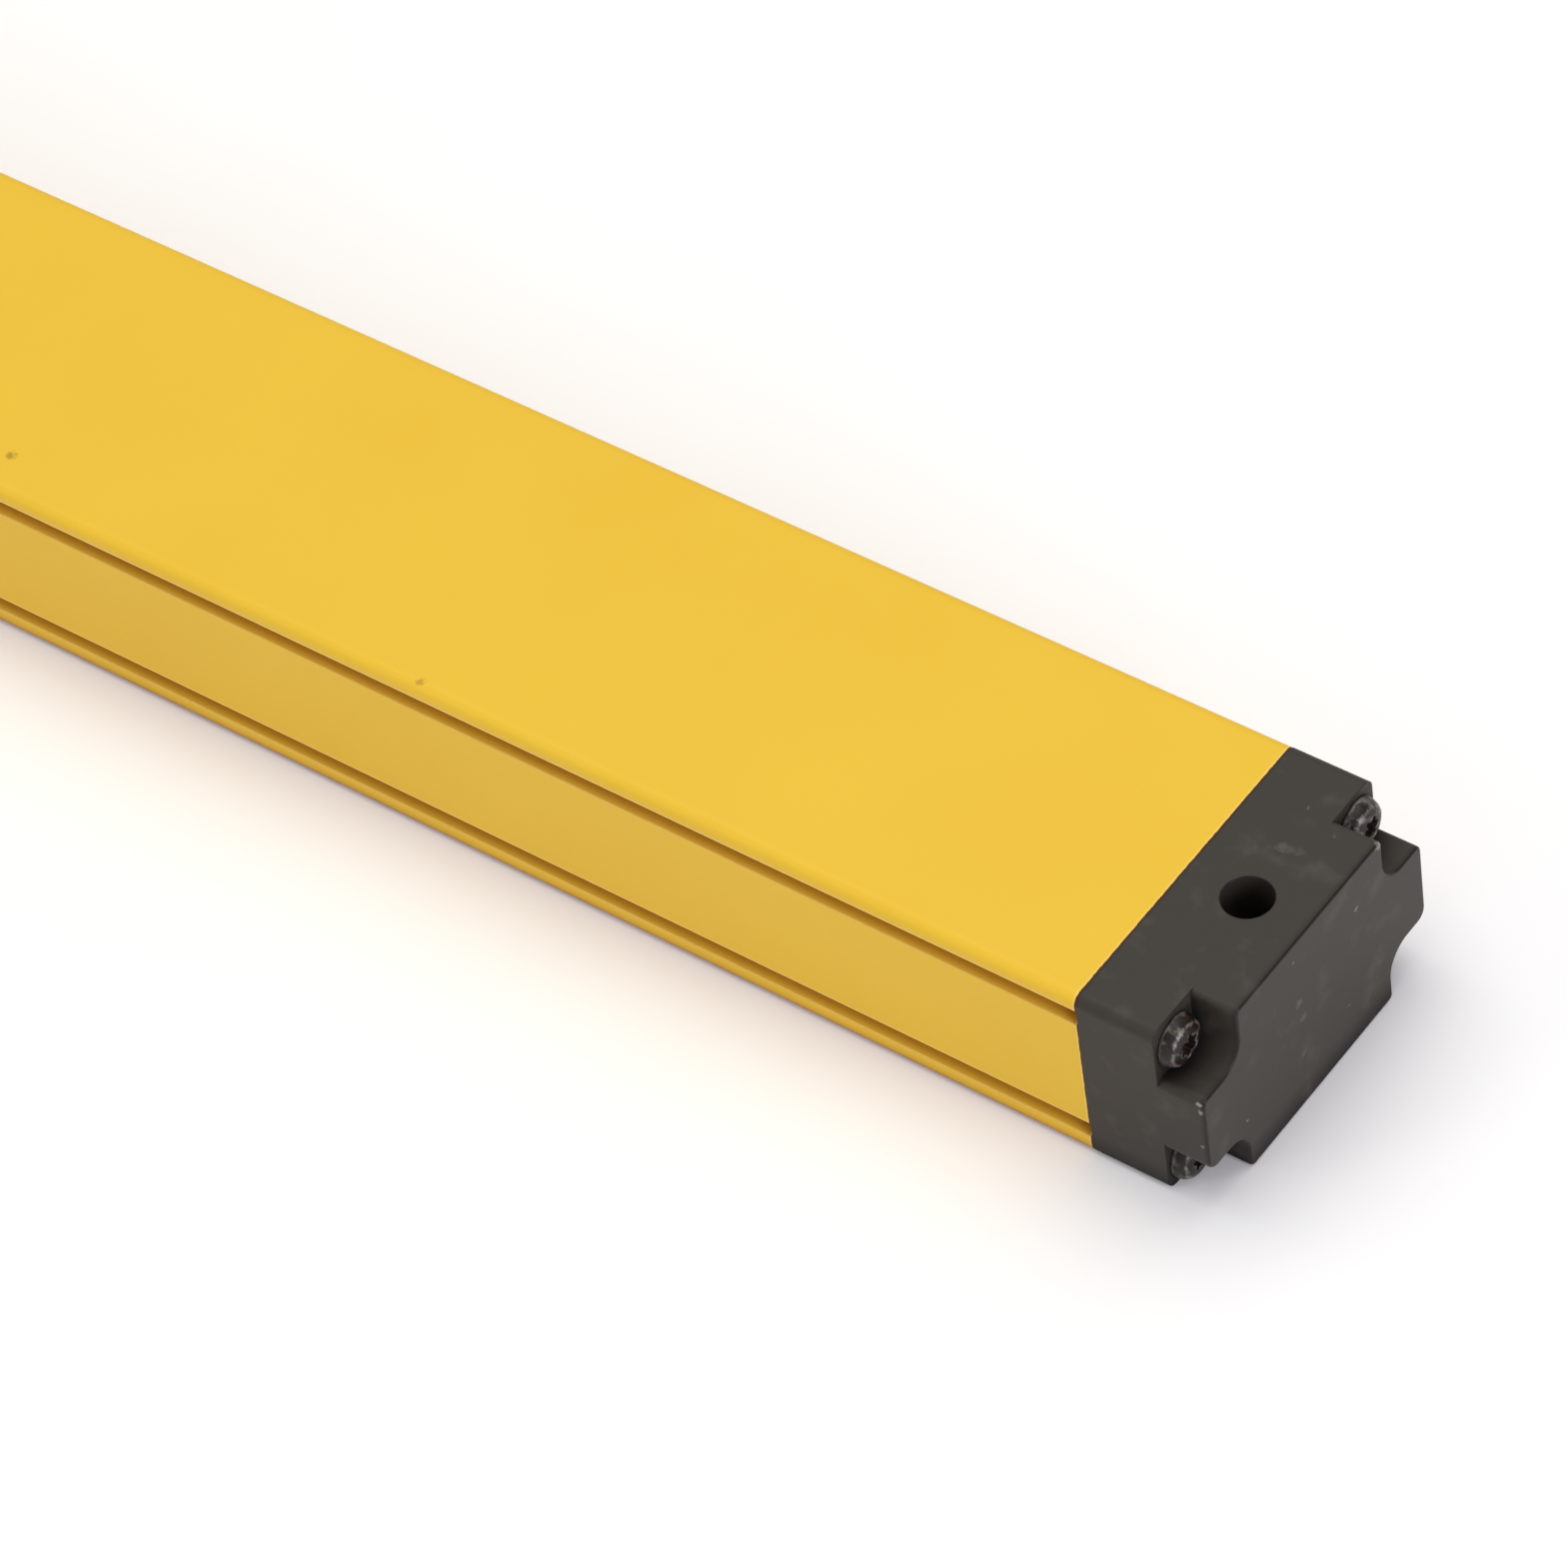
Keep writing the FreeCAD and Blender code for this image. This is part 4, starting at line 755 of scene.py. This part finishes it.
def cap_screw_rings(settings, shank_length, axis_at, turn, least_wear_and_light):
    """Rings of one screw from its tip to the floor of its recess. axis_at(x, y, z) places a point of the screw."""
    angles = [2.0 * math.pi * index / SCREW_SIDES for index in range(SCREW_SIDES)]
    shank = settings.shank_radius
    root = shank * SCREW_ROOT
    head = settings.head_radius
    top = settings.head_height

    def ring(x, radius_at):
        return [axis_at(x, radius_at(a) * math.cos(a), radius_at(a) * math.sin(a)) for a in angles]

    rings = []
    # The thread tapers over the first millimetre at the tip, and runs out over one that starts one below the head
    run = 1.0 * MM
    step = settings.pitch / SCREW_RINGS
    count = int((shank_length - 0.4 * run) / step)
    for index in range(count + 1):
        x = -shank_length + index * step
        grow = min(1.0, 0.5 + 0.5 * (index * step) / run)
        fade = min(1.0, max(0.0, (-x - run) / run))

        def threaded(a, x=x, grow=grow, fade=fade):
            share = x / settings.pitch - a / (2.0 * math.pi)
            height = (shank - root) * thread_profile(share)
            return grow * (root + height * fade)

        rings.append((ring(x, threaded), 0.0))
    rings.append((ring(0.0, lambda a: root), 0.0))
    for height_share, radius_share, wear in HEAD_OUTLINE:
        rings.append((ring(top * height_share, lambda a, share=radius_share: head * share), max(wear, least_wear_and_light)))

    outer = settings.recess_radius
    inner = outer * RECESS_WAIST
    middle = (outer + inner) / 2.0
    swing_out = (outer - inner) / 2.0

    def star(a):
        wave = math.cos(settings.lobes * (a + turn))
        return middle + swing_out * math.copysign(abs(wave) ** LOBE_FULLNESS, wave)

    depth = settings.recess_depth
    # Depth below the head's top, outline and wear, from the recess's broken edge to its floor
    recess = (
        (0.0, lambda a: star(a) + 0.10 * MM, 0.7),
        (0.05 * MM, lambda a: star(a) + 0.03 * MM, 1.0),
        (0.16 * MM, star, 0.2),
        (depth - 0.15 * MM, lambda a: star(a) * 0.96, -1.0),
        (depth, lambda a: star(a) * 0.86, -1.0),
        (depth + 0.12 * MM, lambda a: star(a) * 0.2, -1.0),
    )
    for below, radius_at, wear in recess:
        rings.append((ring(top - below, radius_at), wear))
    return rings


def build_screws(settings, node, outward):
    """The four screws of one end cap, in place of the frame's plain ones."""
    low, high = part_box(node)
    seat = high.x - settings.head_height if outward > 0 else low.x + settings.head_height
    shank_length = (seat - low.x) if outward > 0 else (high.x - seat)
    head = settings.head_radius
    body = bmesh.new()
    places = [(y, z) for y in (low.y + head, high.y - head) for z in (low.z + head, high.z - head)]
    for (y0, z0), share, least_wear_and_light in zip(places, SCREW_TURNS, SCREW_WEAR_AND_LIGHT):
        turn = share * 2.0 * math.pi / settings.lobes

        def axis_at(x, y, z):
            point = Vector((seat + outward * x, y0 + y, z0 + z))
            if x > 0.0:
                dent = noise.noise(point / DENT_SPACING) * settings.dent
                point += Vector((-outward * abs(dent), -y * dent / head, -z * dent / head))
            return point

        skin(body, cap_screw_rings(settings, shank_length, axis_at, turn, least_wear_and_light))
    return body


CONNECTOR_SIDES = 96
# Rings to one turn of the connector's thread
SHELL_RINGS = 6
# Radius at which the hexagon's corners are turned off, as a share of half its size across flats
HEXAGON_CORNER = 1.13


def build_connector_shell(settings):
    """Threaded shell with its hexagon, in place of the frame's plain one."""
    low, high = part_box("connector_shell")
    insert_low, insert_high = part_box("connector_insert")
    ring_low, ring_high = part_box("connector_o_ring")
    bore = (insert_high.y - insert_low.y) / 2.0
    centre_y = (insert_high.y + insert_low.y) / 2.0
    centre_z = (insert_high.z + insert_low.z) / 2.0
    # Depths are measured inwards from the mouth of the socket, which is the shell's outer end
    full = high.x - low.x
    flange_back = ring_high.x - low.x
    o_ring_width = ring_high.x - ring_low.x
    groove_radius = (ring_high.y - ring_low.y) / 2.0
    flat_half = settings.across_flats / 2.0
    outer = bore + settings.wall
    flange_front = flange_back - settings.flange
    angles = [2.0 * math.pi * index / CONNECTOR_SIDES for index in range(CONNECTOR_SIDES)]

    def ring(depth, radius_at):
        return [
            Vector((low.x + depth, centre_y + radius_at(a) * math.cos(a), centre_z + radius_at(a) * math.sin(a)))
            for a in angles
        ]

    def hexagon(scale):
        third = math.pi / 3.0

        def radius_at(a):
            from_flat = (a + math.pi / 2.0) % third - third / 2.0
            return min(flat_half / math.cos(from_flat) * scale, flat_half * HEXAGON_CORNER)

        return radius_at

    def round_at(radius):
        return lambda a: radius

    body = bmesh.new()
    rings = [ring(0.0, round_at(bore + settings.lead_in)), ring(0.0, round_at(outer - settings.chamfer))]
    step = settings.pitch / SHELL_RINGS
    count = int((flange_front - settings.pitch) / step)
    for index in range(count + 1):
        depth = index * step
        mouth = outer - settings.chamfer + depth
        fade = min(1.0, max(0.0, (flange_front - depth - settings.pitch) / settings.pitch))

        def threaded(a, depth=depth, mouth=mouth, fade=fade):
            share = depth / settings.pitch - a / (2.0 * math.pi)
            crest = outer - settings.depth * (1.0 - thread_profile(share))
            return min(mouth, crest * fade + (outer - settings.depth) * (1.0 - fade))

        rings.append(ring(depth + 0.01 * MM, threaded))
    neck = outer - settings.depth
    # The hexagon with its turned front and broken back edge, the O-ring's groove, the plain end inside the cap
    rings += [
        ring(flange_front, round_at(neck)),
        ring(flange_front, round_at(flat_half * 0.94)),
        ring(flange_front + 0.3 * MM, hexagon(1.0)),
        ring(flange_back - 0.15 * MM, hexagon(1.0)),
        ring(flange_back, hexagon(0.985)),
        ring(flange_back, round_at(groove_radius)),
        ring(flange_back - o_ring_width, round_at(groove_radius)),
        ring(flange_back - o_ring_width, round_at(outer)),
        ring(full - settings.tail, round_at(outer)),
        ring(full, round_at(outer - settings.tail)),
        ring(full, round_at(bore)),
        ring(settings.lead_in, round_at(bore)),
    ]
    loops = [[body.verts.new(point) for point in loop] for loop in rings]
    for first, second in zip(loops, loops[1:] + loops[:1]):
        for index in range(CONNECTOR_SIDES):
            following = (index + 1) % CONNECTOR_SIDES
            body.faces.new((first[index], first[following], second[following], second[index]))
    return body


# Operators


class LIGHTCURTAIN_OT_housing(bpy.types.Operator):
    """Coat the housing"""

    bl_idname = "lightcurtain.housing"
    bl_label = "Housing"

    def execute(self, context):
        dress(powder_coat(context.scene.light_curtain.housing), "housing_profile")
        return {"FINISHED"}


class LIGHTCURTAIN_OT_window(bpy.types.Operator):
    """Finish the front window and its seals"""

    bl_idname = "lightcurtain.window"
    bl_label = "Window and seals"

    def execute(self, context):
        dress(clear_acrylic(), "front_window")
        rubber = mottled("nitrile_rubber_extruded", "#161616", "#1E1E1E", 1.2 * MM, 0.75, ior=1.52)
        dress(rubber, "window_seal_near", "window_seal_far", "gasket_blank_end", "gasket_connector_end")
        dress(rubber, "board_stop_pad", "connector_o_ring")
        return {"FINISHED"}


class LIGHTCURTAIN_OT_end_caps(bpy.types.Operator):
    """Finish the moulded end caps"""

    bl_idname = "lightcurtain.end_caps"
    bl_label = "End caps"

    def execute(self, context):
        dress(moulded_nylon(context.scene.light_curtain.cap), "end_cap_blank", "end_cap_connector")
        return {"FINISHED"}


class LIGHTCURTAIN_OT_cap_screws(bpy.types.Operator):
    """Build the cap screws with their threads and recesses"""

    bl_idname = "lightcurtain.cap_screws"
    bl_label = "Cap screws"

    def execute(self, context):
        settings = context.scene.light_curtain.screw
        steel = black_oxide_steel(settings)
        for end_name, outward in (("blank", 1.0), ("connector", -1.0)):
            node = f"cap_screws_{end_name}_end"
            body = build_screws(settings, node, outward)
            finished_mesh(f"pan_head_screws_{end_name}_end", body, steel, [node])
        return {"FINISHED"}


class LIGHTCURTAIN_OT_connector(bpy.types.Operator):
    """Build the threaded connector shell and finish what it holds"""

    bl_idname = "lightcurtain.connector"
    bl_label = "Plug connector"

    def execute(self, context):
        settings = context.scene.light_curtain.connector
        nickel = turned_metal("nickel_plated_brass_turned", "#AFA99E", "#C4BFB5", 0.24, 0.4 * MM)
        body = build_connector_shell(settings)
        finished_mesh("threaded_connector_shell", body, nickel, ["connector_shell"])
        dress(nickel, "connector_ring_nut")
        insert = mottled("polyamide_insert_moulded", "#18181A", "#222224", 0.8 * MM, 0.5, ior=1.53)
        dress(insert, "connector_insert")
        gold = turned_metal("gold_flashed_brass_turned", "#D9AE4E", "#E6C069", 0.2, 0.3 * MM)
        dress(gold, "connector_pins")
        return {"FINISHED"}


class LIGHTCURTAIN_OT_optics(bpy.types.Operator):
    """Finish the optic blocks, the lenses and the beam diodes"""

    bl_idname = "lightcurtain.optics"
    bl_label = "Optics"

    def execute(self, context):
        block = mottled("optic_polycarbonate_moulded", "#0E0E10", "#161618", 0.7 * MM, 0.62, ior=1.58)
        dress(block, *numbered("optic_block"))
        dress(moulded_acrylic(), *numbered("lens_strip"), "light_guide")
        resin = mottled("tinted_epoxy_cast", "#2A0A14", "#3A101C", 1.5 * MM, 0.12, ior=1.55, transmission=0.3)
        dress(resin, *numbered("beam_diodes"))
        return {"FINISHED"}


class LIGHTCURTAIN_OT_boards(bpy.types.Operator):
    """Finish the circuit boards and what they carry"""

    bl_idname = "lightcurtain.boards"
    bl_label = "Boards"

    def execute(self, context):
        dress(solder_mask(), "diode_board", "control_board", "connector_board")
        zinc = mottled("zinc_plated_steel_rolled", "#A9A9A6", "#BFBFBB", 1.0 * MM, 0.32, metallic=1.0)
        dress(zinc, "block_screws", "control_board_screws")
        dress(turned_metal("brass_turned", "#B58D3F", "#C9A356", 0.28, 0.3 * MM), "board_spacers")
        chip = mottled("chip_epoxy_moulded", "#1A1A1B", "#242425", 0.25 * MM, 0.6, ior=1.55)
        dress(chip, "processor", "output_drivers", "board_link_header", "link_block")
        can = mottled("aluminium_can_drawn", "#BDBDBD", "#CFCFCE", 0.8 * MM, 0.26, metallic=1.0)
        dress(can, "capacitors")
        dress(mottled("lamp_resin_cast", "#CFC8AE", "#DAD4BE", 0.6 * MM, 0.2, ior=1.5), "status_lamps")
        return {"FINISHED"}


# Where the black flag hangs, as seen from the part
FLAG_DIRECTION = (0.80, 0.53, 0.28)
# The floor lies a hair below the part, so that their faces don't meet
FLOOR_GAP = 0.02 * MM


class LIGHTCURTAIN_OT_stage(bpy.types.Operator):
    """Set the floor, the lights and the camera"""

    bl_idname = "lightcurtain.stage"
    bl_label = "Stage"

    def execute(self, context):
        settings = context.scene.light_curtain.stage
        self.make_floor(settings)
        self.make_lights(context.scene, settings)
        self.make_camera(context.scene, settings)
        context.scene.view_settings.view_transform = "Standard"
        return {"FINISHED"}

    def make_floor(self, settings):
        half = settings.floor_side / 2.0
        body = bmesh.new()
        bmesh.ops.create_grid(body, x_segments=8, y_segments=8, size=half)
        mesh = bpy.data.meshes.new("studio_floor")
        body.to_mesh(mesh)
        body.free()
        floor = bpy.data.objects.new("studio_floor", mesh)
        floor.location.z = cad_box[0].z - FLOOR_GAP
        bpy.context.scene.collection.objects.link(floor)
        mesh.materials.append(floor_paint(settings))

    def make_lights(self, scene, settings):
        world = bpy.data.worlds.new("studio_surround")
        world.use_nodes = True
        tree = world.node_tree
        tree.nodes.clear()
        # Even light from all round, but for a black flag low beyond the end cap: the cap's upper edge mirrors it
        direction = add(tree, "ShaderNodeTexCoord").outputs["Generated"]
        share = add(
            tree, "ShaderNodeVectorMath", {0: direction, 1: FLAG_DIRECTION}, operation="DOT_PRODUCT")
        flagged = add(
            tree, "ShaderNodeMapRange",
            {"Value": share.outputs["Value"], "From Min": 0.8, "From Max": 0.95}, interpolation_type="SMOOTHSTEP")
        tone = add(
            tree, "ShaderNodeMix",
            {"Factor": flagged.outputs[0], "A": settings.sky, "B": settings.flag}, data_type="RGBA")
        surround = add(
            tree, "ShaderNodeBackground", {"Color": tone.outputs["Result"], "Strength": settings.sky_strength})
        add(tree, "ShaderNodeOutputWorld", {"Surface": surround.outputs[0]})
        scene.world = world
        # Each light's name, tint, power, side and place, measured from the top of the bar's blank end
        target = Vector((cad_box[1].x, 0.0, cad_box[1].z))
        lights = (
            ("overhead_softbox", settings.warm, settings.top_power, 1.6, Vector((-0.35, 0.25, 1.6))),
            ("left_softbox", settings.warm, settings.left_power, 0.34, Vector((-0.75, -1.15, 0.85))),
            ("right_softbox", settings.cool, settings.right_power, 0.9, Vector((1.5, -0.35, 0.55))),
        )
        for name, tint, power, side, away in lights:
            lamp = bpy.data.lights.new(name, "AREA")
            lamp.color = tint[:3]
            lamp.shape = "SQUARE"
            lamp.size = side
            lamp.energy = power
            holder = bpy.data.objects.new(name, lamp)
            holder.location = target + away
            holder.rotation_mode = "QUATERNION"
            holder.rotation_quaternion = away.to_track_quat("Z", "Y")
            scene.collection.objects.link(holder)

    def make_camera(self, scene, settings):
        ahead = Vector((
            -math.cos(settings.elevation) * math.sin(settings.azimuth),
            math.cos(settings.elevation) * math.cos(settings.azimuth),
            -math.sin(settings.elevation)))
        level_right = ahead.cross(Vector((0.0, 0.0, 1.0))).normalized()
        level_up = level_right.cross(ahead)
        right = level_right * math.cos(settings.roll) + level_up * math.sin(settings.roll)
        up = level_up * math.cos(settings.roll) - level_right * math.sin(settings.roll)
        view = bpy.data.cameras.new("product_camera")
        view.sensor_fit = "HORIZONTAL"
        view.sensor_width = 36.0
        view.lens = settings.lens
        view.clip_start = 0.01
        view.clip_end = 100.0
        camera = bpy.data.objects.new("product_camera", view)
        turned = Matrix((right, up, -ahead)).transposed()
        camera.matrix_world = Matrix.Translation(Vector(settings.place)) @ turned.to_4x4()
        scene.collection.objects.link(camera)
        scene.camera = camera


class LIGHTCURTAIN_PT_panel(bpy.types.Panel):
    """Lists the steps that dress the light curtain"""

    bl_idname = "LIGHTCURTAIN_PT_panel"
    bl_label = "Safety light curtain"
    bl_space_type = "VIEW_3D"
    bl_region_type = "UI"
    bl_category = "Light Curtain"

    def draw(self, context):
        for step in STEPS:
            self.layout.operator(step.bl_idname)


STEPS = (
    LIGHTCURTAIN_OT_housing,
    LIGHTCURTAIN_OT_window,
    LIGHTCURTAIN_OT_end_caps,
    LIGHTCURTAIN_OT_cap_screws,
    LIGHTCURTAIN_OT_connector,
    LIGHTCURTAIN_OT_optics,
    LIGHTCURTAIN_OT_boards,
    LIGHTCURTAIN_OT_stage,
)
GROUPS = (
    HousingSettings,
    CapSettings,
    ScrewSettings,
    ConnectorSettings,
    StageSettings,
    LightCurtainSettings,
)


def register():
    for made in (*GROUPS, *STEPS, LIGHTCURTAIN_PT_panel):
        bpy.utils.register_class(made)
    bpy.types.Scene.light_curtain = PointerProperty(type=LightCurtainSettings)


def unregister():
    del bpy.types.Scene.light_curtain
    for made in reversed((*GROUPS, *STEPS, LIGHTCURTAIN_PT_panel)):
        bpy.utils.unregister_class(made)


def main():
    register()
    for step in STEPS:
        group, name = step.bl_idname.split(".")
        getattr(getattr(bpy.ops, group), name)()


if __name__ == "__main__":
    main()
